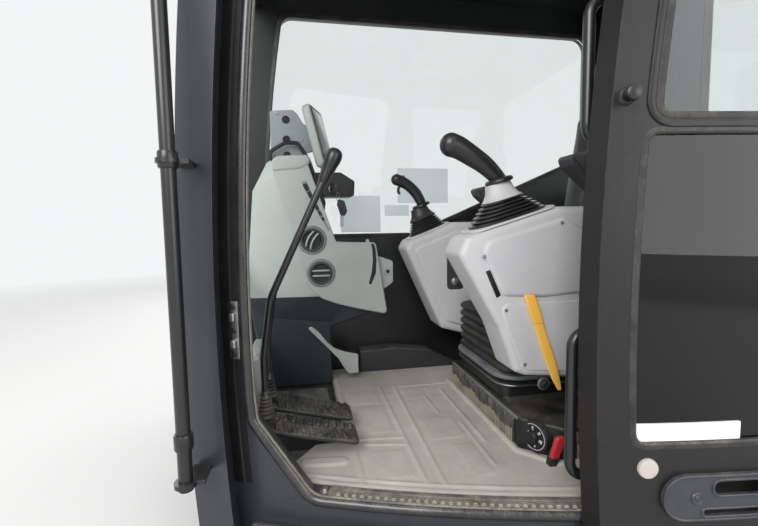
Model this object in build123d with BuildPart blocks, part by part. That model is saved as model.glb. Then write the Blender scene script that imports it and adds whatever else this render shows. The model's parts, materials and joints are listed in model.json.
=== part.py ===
"""Operator's cab of a crawler excavator: steel cell, sliding convex door, glass, seat, consoles and controls.

Millimetres. +X is the machine's front, +Y its left side and +Z is up. The origin is the centre of
the four cab mounting bolts, on the underside of the floor frame. The left side is an arc in plan,
and the door runs along that arc on curved rails. It is modelled slid open, as it stands in use.
"""

import math
import os

from build123d import *

os.makedirs("parts", exist_ok=True)

# Cell: the left side is an arc in plan, and the front is an arc seen from the side
SIDE_R = 3100.0  # outer skin of the left side
SIDE_X = -720.0  # centre of that arc
SIDE_Y = -2405.0
FRONT_X = 714.0  # foremost point of the front
FRONT_R = 5800.0  # radius of the front's curve, seen from the side
FRONT_Z = 550.0  # height of its foremost point
REAR_X = -930.0
RIGHT_Y = -420.0
WALL = 45.0  # thickness of a side wall
REAR_WALL = 50.0
REAR_CORNER = 40.0  # radius of the rear corners in plan
FLOOR_TOP = 120.0
FLOOR_PLATE = 10.0
FLOOR_RIM = 45.0
ROOF = 60.0  # thickness of the roof
ROOF_EAVE = 68.0  # how far the roof stands out over the left side and its rail
ROOF_RIB = 8.0  # height of the pressed ribs behind the hatch
ROOF_RIB_W = 70.0
ROOF_RIB_END = 60.0  # from the ribs to the roof's rear edge and to the hatch
REACH = 6000.0  # cutters reach past the whole cab

# Cab mounts
MOUNT_X = 580.0
MOUNT_Y = 325.0
MOUNT_HOLE = 17.0
MOUNT_PAD = 100.0

# Doorway, in the left side
SEAL_LAND = 140.0  # doorway's front edge, behind the front curve
OPEN_REAR = -150.0
SILL_H = 16.0  # doorway's lower edge over the floor
OPEN_TOP = 1570.0
CORNER_RUN = 125.0  # sloped lower front corner of the doorway
CORNER_RISE = 165.0
CORNER_R = 90.0
B_PILLAR = 90.0
SEAL_PROUD = 14.0
SEAL_WIDE = 14.0

# Door
DOOR_GAP = 20.0  # from the skin to the door's inner face
DOOR_T = 38.0
DOOR_REBATE = 80.0  # rear edge of the front pillar's outer post, behind the front curve
DOOR_DROP = 70.0  # how far the door reaches below the doorway
DOOR_LAP = 36.0  # how far it reaches over the doorway's top
DOOR_REAR = -176.0  # trailing edge when the door is shut
DOOR_TRAVEL = 13.45  # degrees along the rails, from open to shut
STILE_UPPER = 76.0
STILE_LOWER = 60.0
STILE_REAR = 52.0
WAIST = 884.0  # lower edge of the bar between the door's two panes
WAIST_BAR = 25.0
PANE_BOTTOM = 305.0
DOOR_HEAD = 54.0  # door's frame over the upper pane
PANE_R = 28.0
DOOR_KNOBS = ((593.0, 942.0, 10.0, 24.0), (537.0, 263.0, 17.0, 5.0))  # x, z, radius, how far proud

# Door rails and their rollers
RAIL_T = 4.0
RAIL_H = 28.0
RAIL_CLEAR = 12.0  # from the door's edge to a rail's lips
RAIL_END = 10.0  # from a rail's end to the cab's rear
ROOF_GAP = 4.0  # from the upper rail to the roof
ROLLER_D = 32.0
ROLLER_H = 16.0
ROLLER_GAP = 0.5

# Door handle: an oval plate with two finger slots over a pocket in the door
HANDLE_X = 399.0
HANDLE_Z = 205.0
HANDLE_W = 225.0
HANDLE_H = 90.0
HANDLE_T = 8.0
HANDLE_POCKET = 22.0
FINGER_SLOTS = ((-88.0, 24.0, 4.0, 33.0), (-80.0, 42.0, -36.0, -22.0))  # x0, x1, z0, z1 from its middle

# Fits
GLASS = 6.0
SEAT_GAP = 0.3  # a piece clears what it is seated in by this
CLEAR = 6.0  # gap round moving panels

# Windows
WINDOW_DROP = 25.0  # top of a window, below the top of the doorway
WINDOW_R = 55.0
QUARTER_SILL = 880.0
RIGHT_SILL = 690.0
RIGHT_SILL_RISE = 334.0  # how much higher the right sill lies at its rear end
SILL_BEND = -20.0  # the right sill starts to rise here
WINDOW_EDGE = 60.0  # from a window to the next wall or panel
RIGHT_SEAM = -245.0  # where the right side's two rear panels meet
RIGHT_PILLAR_FRONT = 120.0
REAR_SILL = 880.0
SHIELD_SPLIT = 560.0  # lower edge of the bar between the two windscreen panes
SHIELD_BAR = 40.0
FRONT_BEAM = 70.0
FRONT_DEPTH = 55.0
SHIELD_SET = 10.0  # windscreen's outer face, behind the front curve

# Roof hatch
HATCH_X0 = -60.0
HATCH_X1 = 420.0
HATCH_Y0 = -190.0
HATCH_Y1 = 330.0
HATCH_LAP = 30.0
HATCH_T = 24.0
HATCH_PIN = 16.0  # hinge pins, behind the hatch's rear edge
HATCH_KNUCKLE = 9.0  # radius
HATCH_HINGES = (-120.0, 260.0)

# Seat, its slide and its back
SEAT_Y = 110.0  # middle of the seat
SEAT_W = 400.0
SEAT_FRONT = -130.0
SEAT_REAR = -450.0
SEAT_H = 450.0  # over the mat
CUSHION = 115.0
BOLSTER_W = 62.0
BOLSTER_DIP = 18.0  # how much lower the cushion lies between its bolsters
BOLSTER_SLOPE = 26.0
MAT_T = 10.0
MAT_GAP = 4.0
TILE = (105.0, 92.0, 2.5, 16.0)  # a raised tile of the mat: along x, along y, height, gap
MAT_FRONT = 350.0  # the mat ends here in front of the pedals' well
WELL_LEFT = 235.0
WELL_CORNER = (80.0, 150.0, 95.0)  # where its edge turns: x from MAT_FRONT, twice, and how far left it goes
RISER_FRONT = -97.0
RISER_REAR = -560.0
RISER_H = 102.0
RISER_RIGHT = 40.0  # how far the riser stands out beyond the cushion
RISER_LEFT = 140.0
RISER_CORNER = 80.0
RISER_RIB = 6.0
SLIDE_H = 16.0
SLIDE_W = 36.0
SLIDE_Y = 150.0  # either side of the seat's middle
RECLINE_X = -500.0
RECLINE_DROP = 60.0  # pivots below the cushion's top
RECLINE_LEAN = 6.0  # degrees that the back leans at rest
BACK_T = 105.0
BACK_H = 640.0
BACK_SET = 30.0  # middle of the back, behind its pivot
BACK_FOOT = 40.0  # how far the back reaches below its pivot
EAR_T = 8.0
PIVOT_D = 16.0
PIVOT_END = 2.0
HEADREST_H = 190.0
HEADREST_W = 260.0
HEADREST_T = 90.0
PAD_R = 35.0
BRACKET = (160.0, 290.0, 35.0, 115.0)  # x from the suspension's rear, and depth below the cushion

# Suspension, by layers: height, front edge, set in from the cushion's sides, corner radius
SUSPENSION = (
    (34.0, -97.0, 35.0, 30.0),
    (6.0, -84.0, 14.0, 60.0),
    (14.0, -104.0, 50.0, 20.0),
    (12.0, -80.0, 10.0, 70.0),
)
FOLDS = 5
FOLD_IN = 14.0

# Dial housing and red release handle at the riser's front left corner
DIAL_D = 84.0
DIAL_X = -112.0
DIAL_Y = 398.0
DIAL_Z = 57.0  # over the mat
DIAL_TURN = 22.0  # degrees that its face is turned to the door
RELEASE_X = -150.0
RELEASE_T = 16.0

# Consoles beside the seat; a side view's points are x and height over the cushion's top
LEFT_GAP = 20.0  # from the cushion
LEFT_W = 115.0
RIGHT_GAP = 10.0
RIGHT_W = 145.0
CONSOLE_R = 14.0
PANEL_PROUD = 8.0
LEFT_SIDE = (
    (96.0, 75.0), (77.0, 116.0), (-160.0, 185.5), (-345.0, 185.5), (-345.0, -160.0),
    (-271.0, -247.0), (-77.0, -228.0), (-48.0, -216.0), (-8.0, -106.0), (35.0, -32.0),
)
LEFT_UPPER = (
    (14.0, -17.0), (-215.0, -17.0), (-247.0, 0.0), (-266.0, 92.0), (-160.0, 157.0), (30.0, 106.0),
    (55.0, 62.0),
)
LEFT_LOWER = (
    (2.0, -34.0), (-230.0, -34.0), (-250.0, -228.0), (-86.0, -214.0), (-66.0, -206.0), (-24.0, -104.0),
)
RIGHT_SIDE = (
    (84.0, 62.0), (66.0, 92.0), (-100.0, 157.0), (-345.0, 157.0), (-345.0, -220.0),
    (-148.0, -263.0), (-50.0, -235.0), (-31.0, -195.0),
)
RIGHT_RECESS = (-132.0, -66.0, -90.0, 70.0)  # x0, x1, z0, z1
RECESS_DEEP = 10.0
BUTTON_D = 30.0

# Sticks: boot on the sloping console top, collar, ring and a grip that leans forward
LEFT_STICK = (-54.5, 100.0)  # x, boot's half length
RIGHT_STICK = (-17.0, 72.0)
LEFT_STICK_SET = 45.0  # from the console's inner face
RIGHT_STICK_SET = 75.0
BOOT_RIBS = 5
BOOT_PITCH = 11.0
BOOT_RIB_T = 7.0
BOOT_RATIO = 0.52  # width to length
COLLAR = (96.0, 62.0, 40.0)  # foot, top, height
STICK_RING = (64.0, 12.0)  # diameter, height
GRIP_D = 38.0
GRIP_PATH = ((-9.0, 95.0), (20.0, 148.0), (87.0, 217.0))
GRIP_HEAD_D = 58.0

# Armrests over the consoles: x and height over the console's top
ARMREST_W = 58.0
ARMREST_SIDE = (
    (-340.0, 0.0), (-340.0, 44.0), (-400.0, 50.0), (-400.0, 112.0), (-245.0, 136.0), (-192.0, 124.0),
    (-204.0, 98.0), (-268.0, 44.0), (-285.0, 0.0),
)

# Front right console: points are x and z
DASH_Y = -200.0
DASH_PANEL = 22.0  # how far the facing panel stands proud of the body
DASH_FOOT = (350.0, 600.0)
DASH_BODY = ((655.0, 500.0), (622.0, 860.0), (566.0, 966.0), (428.0, 976.0), (325.0, 669.0), (190.0, 660.0),
             (160.0, 400.0), (350.0, 345.0))
DASH_FACE = ((543.0, 918.0), (539.0, 964.0), (428.0, 976.0), (325.0, 669.0), (177.0, 666.0), (135.0, 390.0),
             (325.0, 444.0), (416.0, 487.0), (446.0, 545.0), (465.0, 624.0))
SWITCH_SLOT = ((439.0, 883.0), (351.0, 718.0), 22.0)
VENT_D = 86.0
VENT_RIM = 10.0
VENT_PROUD = 12.0
VENTS = ((414.0, 680.0), (385.0, 558.0))
PLUG_PLATE = (
    (440.0, 970.0), (545.0, 960.0), (545.0, 1150.0), (462.0, 1150.0), (430.0, 1105.0), (380.0, 1085.0),
    (372.0, 1015.0), (425.0, 1000.0),
)
PLUG_SET = 50.0  # plate behind the console's face
PLUGS = ((495.0, 1119.0), (495.0, 1048.0), (494.0, 991.0))
PLUG_D = 22.0
PLATE_T = 10.0
LEAD_D = 14.0
LEAD_IN = 26.0  # lead behind the console's face
LEAD_PATH = (
    (553.0, 940.0), (553.0, 1000.0), (500.0, 1032.0), (455.0, 1032.0), (418.5, 974.0), (366.0, 817.0),
    (372.0, 780.0),
)
SWITCH_BOX = ((440.0, 928.0), (300.0, 930.0), (248.0, 897.0), (251.0, 841.0), (410.0, 838.0))
SWITCH_BOX_Y = (-330.0, -235.0)
FLAP = ((200.0, 640.0), (159.0, 611.0), (101.0, 590.0), (102.0, 506.0), (145.0, 477.0), (180.0, 520.0))
FLAP_HOLE = (122.0, 550.0)
FLAP_Y = -252.0

# Monitor: its left lower corner at the screen, size, turn to the door and lean
MONITOR_CORNER = (360.0, -205.0, 950.0)
MONITOR_W = 150.0
MONITOR_H = 236.0
MONITOR_T = 34.0
MONITOR_TURN = 20.0
MONITOR_LEAN = 13.6

# Pedals and travel levers
PEDAL_Y = (155.0, 290.0)
PEDAL_W = 105.0
PEDAL_T = 14.0
PEDAL_X = (320.0, 595.0)
PEDAL_RISE = 66.0
PEDAL_Z = 40.0  # rear edge over the mat
PEDAL_RIBS = 9
LEVER_D = 18.0
LEVER_PATH = ((556.0, 125.0), (556.0, 270.0), (534.0, 418.0), (378.0, 747.0))  # x and height over the mat
KNOB_D = 34.0
KNOB_L = 44.0

# Yellow lock lever on the left console, with its pivot
LOCK_LEVER = ((-84.0, -26.0), (-56.0, -26.0), (-136.0, -255.0), (-152.0, -253.0))
LOCK_PIVOT = (-124.0, -250.0, 32.0)

# Shelf, handrail and grab rails
SHELF_FRONT = -690.0
SHELF_H = 370.0  # over the mat
HANDRAIL_D = 28.0
HANDRAIL_X = 698.0
HANDRAIL_Y = 486.0
HANDRAIL_BOTTOM = 198.0
HANDRAIL_DROP = 152.0  # its top below the wall's
GRAB_D = 22.0
# Name, x of the grip, lower and upper end
GRABS = (("grab_rail_upper", -90.0, 880.0, 1142.0), ("grab_rail_lower", -70.0, 208.0, 508.0))
STRIKER_X = 604.0
STRIKER_Z = 500.0
STRIKER_PLATE = (24.0, 130.0)
STRIKER_LUG = (16.0, 22.0, 60.0)  # width, height, pitch

OPEN_BOTTOM = FLOOR_TOP + SILL_H
DOOR_BOTTOM = OPEN_BOTTOM - DOOR_DROP
RAIL_LOW = DOOR_BOTTOM - RAIL_CLEAR - RAIL_H
DOOR_TOP = OPEN_TOP + DOOR_LAP
PANE_TOP = DOOR_TOP - DOOR_HEAD
WALL_TOP = DOOR_TOP + RAIL_CLEAR + RAIL_H + ROOF_GAP
WINDOW_TOP = OPEN_TOP - WINDOW_DROP
INNER_R = SIDE_R - WALL
INNER_RIGHT = RIGHT_Y + WALL
INNER_REAR = REAR_X + REAR_WALL
OUTER_R = SIDE_R + DOOR_GAP + DOOR_T
MAT_TOP = FLOOR_TOP + MAT_T
ROOF_TOP = WALL_TOP + ROOF
SEAT_TOP = MAT_TOP + SEAT_H
SEAT_LEFT = SEAT_Y + SEAT_W / 2
SEAT_RIGHT = SEAT_Y - SEAT_W / 2
RISER_TOP = MAT_TOP + RISER_H
RECLINE_Z = SEAT_TOP - RECLINE_DROP
LEFT_CONSOLE = (SEAT_LEFT + LEFT_GAP, SEAT_LEFT + LEFT_GAP + LEFT_W)
RIGHT_CONSOLE = (SEAT_RIGHT - RIGHT_GAP - RIGHT_W, SEAT_RIGHT - RIGHT_GAP)
CORNER_X = OPEN_REAR + 420.0  # where the sill and the roof rail meet the front pillar
B_REAR = OPEN_REAR - B_PILLAR


def front_x(back, z):
    """X of the front curve moved back by a distance, at a height."""
    return FRONT_X - FRONT_R + math.sqrt((FRONT_R - back) ** 2 - (z - FRONT_Z) ** 2)


def side_y(x, radius=SIDE_R):
    """Y of the left side at x."""
    return SIDE_Y + math.sqrt(radius**2 - (x - SIDE_X) ** 2)


def side_angle(x, radius=SIDE_R):
    """Degrees along the left side's arc, from straight left towards the front, at x."""
    return math.degrees(math.asin((x - SIDE_X) / radius))


def side_plane(angle, radius, z):
    """Plane on the left side: local x runs to the rear, local y up, and its normal points out."""
    t = math.radians(angle)
    return Plane(
        origin=(SIDE_X + radius * math.sin(t), SIDE_Y + radius * math.cos(t), z),
        x_dir=(-math.cos(t), math.sin(t), 0),
        z_dir=(math.sin(t), math.cos(t), 0),
    )


def side_band(r_in, r_out, a0=-10.0, a1=45.0):
    """Plan of a wall between two radii and two angles of the left side's arc."""
    with BuildSketch(mode=Mode.PRIVATE) as band:
        with BuildLine():
            outer = CenterArc((SIDE_X, SIDE_Y), r_out, 90 - a1, a1 - a0)
            inner = CenterArc((SIDE_X, SIDE_Y), r_in, 90 - a1, a1 - a0)
            Line(outer @ 0, inner @ 0)
            Line(outer @ 1, inner @ 1)
        make_face()
    return band.sketch


def cell_plan(left_r, right_y, rear_x, x_front, corner=0.0):
    """Plan of the cell between its right side and an arc of the left side."""
    band = side_band(SIDE_R / 2, left_r)
    with BuildSketch(mode=Mode.PRIVATE) as plan:
        add(band)
        with Locations(((rear_x + x_front) / 2, right_y + REACH / 2)):
            Rectangle(x_front - rear_x, REACH, mode=Mode.INTERSECT)
        if corner:
            fillet(plan.vertices(), corner)
    return plan.sketch


def front_arc(back, z0, z1):
    """Three points of the front curve moved back, between two heights."""
    return [(front_x(back, z), z) for z in (z0, (z0 + z1) / 2, z1)]


def behind_front(back, x_rear, z0, z1):
    """Side view of what lies behind the front curve, back to x_rear, between two heights."""
    with BuildSketch(mode=Mode.PRIVATE) as region:
        with BuildLine():
            arc = ThreePointArc(*front_arc(back, z0, z1))
            Polyline(arc @ 1, (x_rear, z1), (x_rear, z0), arc @ 0)
        make_face()
    return region.sketch


def front_strip(back0, back1, z0, z1):
    """Side view of a strip between two distances behind the front curve."""
    with BuildSketch(mode=Mode.PRIVATE) as strip:
        with BuildLine():
            outer = ThreePointArc(*front_arc(back0, z0, z1))
            inner = ThreePointArc(*front_arc(back1, z0, z1))
            Line(outer @ 0, inner @ 0)
            Line(outer @ 1, inner @ 1)
        make_face()
    return strip.sketch


def doorway(grow=0.0):
    """Side view of the doorway, grown all round."""
    back = SEAL_LAND - grow
    z0 = OPEN_BOTTOM - grow
    z1 = OPEN_TOP + grow
    knee = OPEN_BOTTOM + CORNER_RISE
    rear = OPEN_REAR - grow
    with BuildSketch(mode=Mode.PRIVATE) as opening:
        with BuildLine():
            arc = ThreePointArc(*front_arc(back, knee, z1))
            Polyline(arc @ 1, (rear, z1), (rear, z0), (front_x(back, knee) - CORNER_RUN, z0), arc @ 0)
        make_face()
        upper = opening.vertices().group_by(Axis.Y)[-1]
        lower = opening.vertices().sort_by(Axis.Y)[:3]
        fillet(upper, CORNER_R + grow)
        fillet(lower, CORNER_R / 2 + grow)
    return opening.sketch


def polygon(points, radius=0.0):
    """Closed outline through points, its corners rounded."""
    with BuildSketch(mode=Mode.PRIVATE) as outline:
        with BuildLine():
            Polyline(*points, close=True)
        make_face()
        if radius:
            fillet(outline.vertices(), radius)
    return outline.sketch


def rounded(x0, x1, y0, y1, radius):
    """Rounded rectangle by its limits."""
    return polygon([(x0, y0), (x1, y0), (x1, y1), (x0, y1)], radius)


def shrunk(outline, gap=SEAT_GAP):
    """An outline moved inwards by a gap."""
    with BuildSketch(mode=Mode.PRIVATE) as inner:
        add(outline)
        offset(amount=-gap, mode=Mode.REPLACE)
    return inner.sketch


def cut_out(outline, *holes):
    """An outline less other outlines."""
    with BuildSketch(mode=Mode.PRIVATE) as left:
        add(outline)
        for hole in holes:
            add(hole, mode=Mode.SUBTRACT)
    return left.sketch


def between(outline, x0, x1, z0=0.0, z1=REACH):
    """The stretch of an outline between two X values and two heights."""
    with BuildSketch(mode=Mode.PRIVATE) as stretch:
        add(outline)
        with Locations(((x0 + x1) / 2, (z0 + z1) / 2)):
            Rectangle(x1 - x0, z1 - z0, mode=Mode.INTERSECT)
    return stretch.sketch


def slab_y(profile, y0, y1):
    """A side-view profile made solid between two Y values."""
    with BuildPart(mode=Mode.PRIVATE) as slab:
        with BuildSketch(Plane.XZ.offset(-y1)):
            add(profile)
        extrude(amount=y1 - y0)
    return slab.part


def slab_x(profile, x0, x1):
    """A front-view profile, its x being Y, made solid between two X values."""
    with BuildPart(mode=Mode.PRIVATE) as slab:
        with BuildSketch(Plane.YZ.offset(x0)):
            add(profile)
        extrude(amount=x1 - x0)
    return slab.part


def slab_z(plan, z0, z1):
    """A plan made solid between two heights."""
    with BuildPart(mode=Mode.PRIVATE) as slab:
        with BuildSketch(Plane.XY.offset(z0)):
            add(plan)
        extrude(amount=z1 - z0)
    return slab.part


def side_wall(r_in, r_out, profile, z0=0.0, z1=ROOF_TOP):
    """A wall between two radii of the left side, cut to a side-view profile."""
    band = side_band(r_in, r_out)
    with BuildPart(mode=Mode.PRIVATE) as wall:
        with BuildSketch(Plane.XY.offset(z0)):
            add(band)
        extrude(amount=z1 - z0)
        with BuildSketch(Plane.XZ.offset(-REACH / 2)):
            add(profile)
        extrude(amount=REACH, mode=Mode.INTERSECT)
    return wall.part


def cross_piece(profile):
    """A piece with a side-view profile that runs from the right wall to the left one."""
    plan = side_band(SIDE_R / 2, INNER_R - SEAT_GAP)
    y0 = INNER_RIGHT + SEAT_GAP
    with BuildPart(mode=Mode.PRIVATE) as piece:
        with BuildSketch(Plane.XZ.offset(-REACH / 2)):
            add(profile)
        extrude(amount=REACH / 2 - y0)
        with BuildSketch():
            add(plan)
        extrude(amount=ROOF_TOP, mode=Mode.INTERSECT)
    return piece.part


def tube(points, diameter, bend, plane=Plane.XY):
    """A bent tube along points of a plane."""
    with BuildPart(mode=Mode.PRIVATE) as bar:
        with BuildLine(plane) as path:
            FilletPolyline(*points, radius=bend)
        with BuildSketch(Plane(origin=path.line @ 0, z_dir=path.line % 0)):
            Circle(diameter / 2)
        sweep()
    return bar.part


def opened(piece):
    """A door piece, made as it stands shut, slid open along the rails."""
    return piece.rotate(Axis((SIDE_X, SIDE_Y, 0), (0, 0, 1)), DOOR_TRAVEL)


def write(piece, name):
    """Labels a finished piece and writes it as its own file."""
    piece.label = name
    export_step(piece, f"parts/{name}.step")


# Floor frame: a pan with a cross member and four mounting pads
floor_plan = cell_plan(SIDE_R, RIGHT_Y, REAR_X, front_x(0, 0), REAR_CORNER)
floor_hollow = cell_plan(
    SIDE_R - FLOOR_RIM, RIGHT_Y + FLOOR_RIM, REAR_X + FLOOR_RIM, front_x(FLOOR_RIM, 0), REAR_CORNER / 2
)
mount_points = [(-MOUNT_X, MOUNT_Y), (-MOUNT_X, -MOUNT_Y), (MOUNT_X, -MOUNT_Y), (MOUNT_X, MOUNT_Y)]
with BuildPart() as floor_frame:
    with BuildSketch():
        add(floor_plan)
    extrude(amount=FLOOR_TOP)
    with BuildSketch():
        add(floor_hollow)
        with Locations((0, 0)):
            Rectangle(FLOOR_RIM, REACH, mode=Mode.SUBTRACT)
        with Locations(*mount_points):
            Rectangle(MOUNT_PAD, MOUNT_PAD, mode=Mode.SUBTRACT)
    extrude(amount=FLOOR_TOP - FLOOR_PLATE, mode=Mode.SUBTRACT)
    with BuildSketch():
        with Locations(*mount_points):
            Circle(MOUNT_HOLE / 2)
    extrude(amount=FLOOR_TOP, mode=Mode.SUBTRACT)
write(floor_frame.part, "floor_frame")

# Left side: one curved wall, split where its panels meet
quarter_window = rounded(INNER_REAR + WINDOW_EDGE, B_REAR - WINDOW_EDGE, QUARTER_SILL, WINDOW_TOP, WINDOW_R)
left_profile = cut_out(behind_front(0, INNER_REAR, FLOOR_TOP, WALL_TOP), doorway(), quarter_window)
corner_run = CORNER_R + CLEAR + SEAT_GAP
door_x = (OPEN_REAR, CORNER_X)
write(
    side_wall(INNER_R, SIDE_R, between(left_profile, *door_x, FLOOR_TOP, OPEN_BOTTOM + corner_run)),
    "sill_left",
)
write(
    side_wall(INNER_R, SIDE_R, between(left_profile, *door_x, OPEN_TOP - corner_run, WALL_TOP)),
    "roof_rail_left",
)
write(side_wall(INNER_R, SIDE_R, between(left_profile, B_REAR, OPEN_REAR)), "b_pillar_left")
write(side_wall(INNER_R, SIDE_R, between(left_profile, INNER_REAR, B_REAR)), "rear_quarter_left")

# Front pillar: a post inside the doorway's seal and a post flush with the door's outer face
inner_post = side_wall(INNER_R, SIDE_R, between(left_profile, CORNER_X, FRONT_X + WALL))
outer_post = side_wall(SIDE_R, OUTER_R, front_strip(0, DOOR_REBATE, FLOOR_TOP, WALL_TOP))
post_foot = side_wall(SIDE_R + SEAT_GAP, OUTER_R, front_strip(0, DOOR_REBATE, RAIL_LOW, FLOOR_TOP))
with BuildPart() as a_pillar_left:
    add(inner_post)
    add(outer_post)
    add(post_foot)
write(a_pillar_left.part, "a_pillar_left")

door_seal = cut_out(doorway(SEAL_WIDE), doorway())
write(side_wall(SIDE_R + SEAT_GAP, SIDE_R + SEAL_PROUD, door_seal), "door_seal")
quarter_mid = SIDE_R - WALL / 2
quarter_glass = side_wall(quarter_mid - GLASS / 2, quarter_mid + GLASS / 2, shrunk(quarter_window))
write(quarter_glass, "quarter_glass_left")

# Right side: flat wall with one long window, whose sill rises behind the seat's front
right_rear_x = INNER_REAR + WINDOW_EDGE
rising_sill = polygon(
    [(SILL_BEND, RIGHT_SILL), (right_rear_x, RIGHT_SILL), (right_rear_x, RIGHT_SILL + RIGHT_SILL_RISE)]
)
with BuildSketch() as right_window:
    add(behind_front(RIGHT_PILLAR_FRONT, right_rear_x, RIGHT_SILL, WINDOW_TOP))
    add(rising_sill, mode=Mode.SUBTRACT)
    fillet(right_window.vertices(), WINDOW_R)
right_profile = cut_out(behind_front(0, INNER_REAR, FLOOR_TOP, WALL_TOP), right_window.sketch)
right_a_rear = front_x(RIGHT_PILLAR_FRONT, WINDOW_TOP) - WINDOW_R
right_belt = RIGHT_SILL - WINDOW_EDGE
right_spans = [
    ("side_panel_right", INNER_REAR, FRONT_X, FLOOR_TOP, right_belt),
    ("a_pillar_right", right_a_rear, FRONT_X, right_belt, WALL_TOP),
    ("window_frame_right", RIGHT_SEAM, right_a_rear, right_belt, WALL_TOP),
    ("rear_quarter_right", INNER_REAR, RIGHT_SEAM, right_belt, WALL_TOP),
]
for name, x0, x1, z0, z1 in right_spans:
    write(slab_y(between(right_profile, x0, x1, z0, z1), RIGHT_Y, INNER_RIGHT), name)
right_pane = (RIGHT_Y + WALL / 2 - GLASS / 2, RIGHT_Y + WALL / 2 + GLASS / 2)
write(slab_y(shrunk(right_window.sketch), *right_pane), "right_glass")

# Rear wall with its window
rear_window = rounded(
    INNER_RIGHT + WINDOW_EDGE, side_y(REAR_X) - WALL - WINDOW_EDGE, REAR_SILL, WINDOW_TOP, WINDOW_R
)
rear_hole = slab_x(rear_window, REAR_X - CLEAR, INNER_REAR + CLEAR)
with BuildPart() as rear_wall:
    with BuildSketch(Plane.XY.offset(FLOOR_TOP)):
        add(cell_plan(SIDE_R, RIGHT_Y, REAR_X, INNER_REAR))
    extrude(amount=WALL_TOP - FLOOR_TOP)
    fillet(rear_wall.edges().filter_by(Axis.Z).group_by(Axis.X)[0], REAR_CORNER)
    add(rear_hole, mode=Mode.SUBTRACT)
write(rear_wall.part, "rear_wall")
rear_mid = REAR_X + REAR_WALL / 2
write(slab_x(shrunk(rear_window), rear_mid - GLASS / 2, rear_mid + GLASS / 2), "rear_glass")

# Front: beams and two panes of the windscreen
bar_top = SHIELD_SPLIT + SHIELD_BAR
beam_top = FLOOR_TOP + FRONT_BEAM
shield_in = SHIELD_SET + GLASS
lower_pane = front_strip(SHIELD_SET, shield_in, beam_top + SEAT_GAP, SHIELD_SPLIT - SEAT_GAP)
upper_pane = front_strip(SHIELD_SET, shield_in, bar_top + SEAT_GAP, OPEN_TOP - SEAT_GAP)
write(cross_piece(front_strip(0, FRONT_DEPTH, FLOOR_TOP, beam_top)), "front_beam")
write(cross_piece(front_strip(0, FRONT_DEPTH, OPEN_TOP, WALL_TOP)), "front_header")
write(cross_piece(front_strip(0, SHIELD_BAR, SHIELD_SPLIT, bar_top)), "windscreen_bar")
write(cross_piece(lower_pane), "windscreen_lower")
write(cross_piece(upper_pane), "windscreen_upper")

# Roof with its hatch, which hangs on knuckles behind its rear edge
hatch_bottom = ROOF_TOP + SEAT_GAP
hatch_pin_x = HATCH_X0 - HATCH_LAP - HATCH_PIN
hatch_pin_z = hatch_bottom + HATCH_T / 2
rib_x = (REAR_X + ROOF_RIB_END, HATCH_X0 - HATCH_LAP - ROOF_RIB_END)
roof_ribs = [
    rounded(*rib_x, y - ROOF_RIB_W / 2, y + ROOF_RIB_W / 2, ROOF_RIB_W / 3)
    for y in (HATCH_Y0 + ROOF_RIB_W / 2, (HATCH_Y0 + HATCH_Y1) / 2, HATCH_Y1 - ROOF_RIB_W / 2)
]


def knuckle(y, length):
    """A hinge knuckle round the hatch's pin axis, centred on y."""
    with BuildPart(mode=Mode.PRIVATE) as barrel:
        with BuildSketch(Plane.XZ.offset(-(y + length / 2))):
            with Locations((hatch_pin_x, hatch_pin_z)):
                Circle(HATCH_KNUCKLE)
        extrude(amount=length)
    return barrel.part


with BuildPart() as roof_panel:
    with BuildSketch(Plane.XY.offset(WALL_TOP)):
        add(cell_plan(SIDE_R + ROOF_EAVE, RIGHT_Y, REAR_X, front_x(0, WALL_TOP), REAR_CORNER * 1.5))
    extrude(amount=ROOF)
    chamfer(roof_panel.faces().sort_by(Axis.Z)[-1].edges(), ROOF / 3)
    with BuildSketch(Plane.XY.offset(WALL_TOP)):
        add(rounded(HATCH_X0, HATCH_X1, HATCH_Y0, HATCH_Y1, REAR_CORNER))
    extrude(amount=ROOF, mode=Mode.SUBTRACT)
    with BuildSketch(Plane.XY.offset(ROOF_TOP)):
        for rib in roof_ribs:
            add(rib)
    extrude(amount=ROOF_RIB, taper=30)
    for y in HATCH_HINGES:
        for side in (-1, 1):
            y_side = y + side * 2.5 * HATCH_KNUCKLE
            add(knuckle(y_side, 2 * HATCH_KNUCKLE))
            with BuildSketch(Plane.XY.offset(ROOF_TOP)):
                with Locations((hatch_pin_x, y_side)):
                    Rectangle(HATCH_KNUCKLE, 2 * HATCH_KNUCKLE)
            extrude(amount=HATCH_T / 2)
write(roof_panel.part, "roof_panel")

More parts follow.
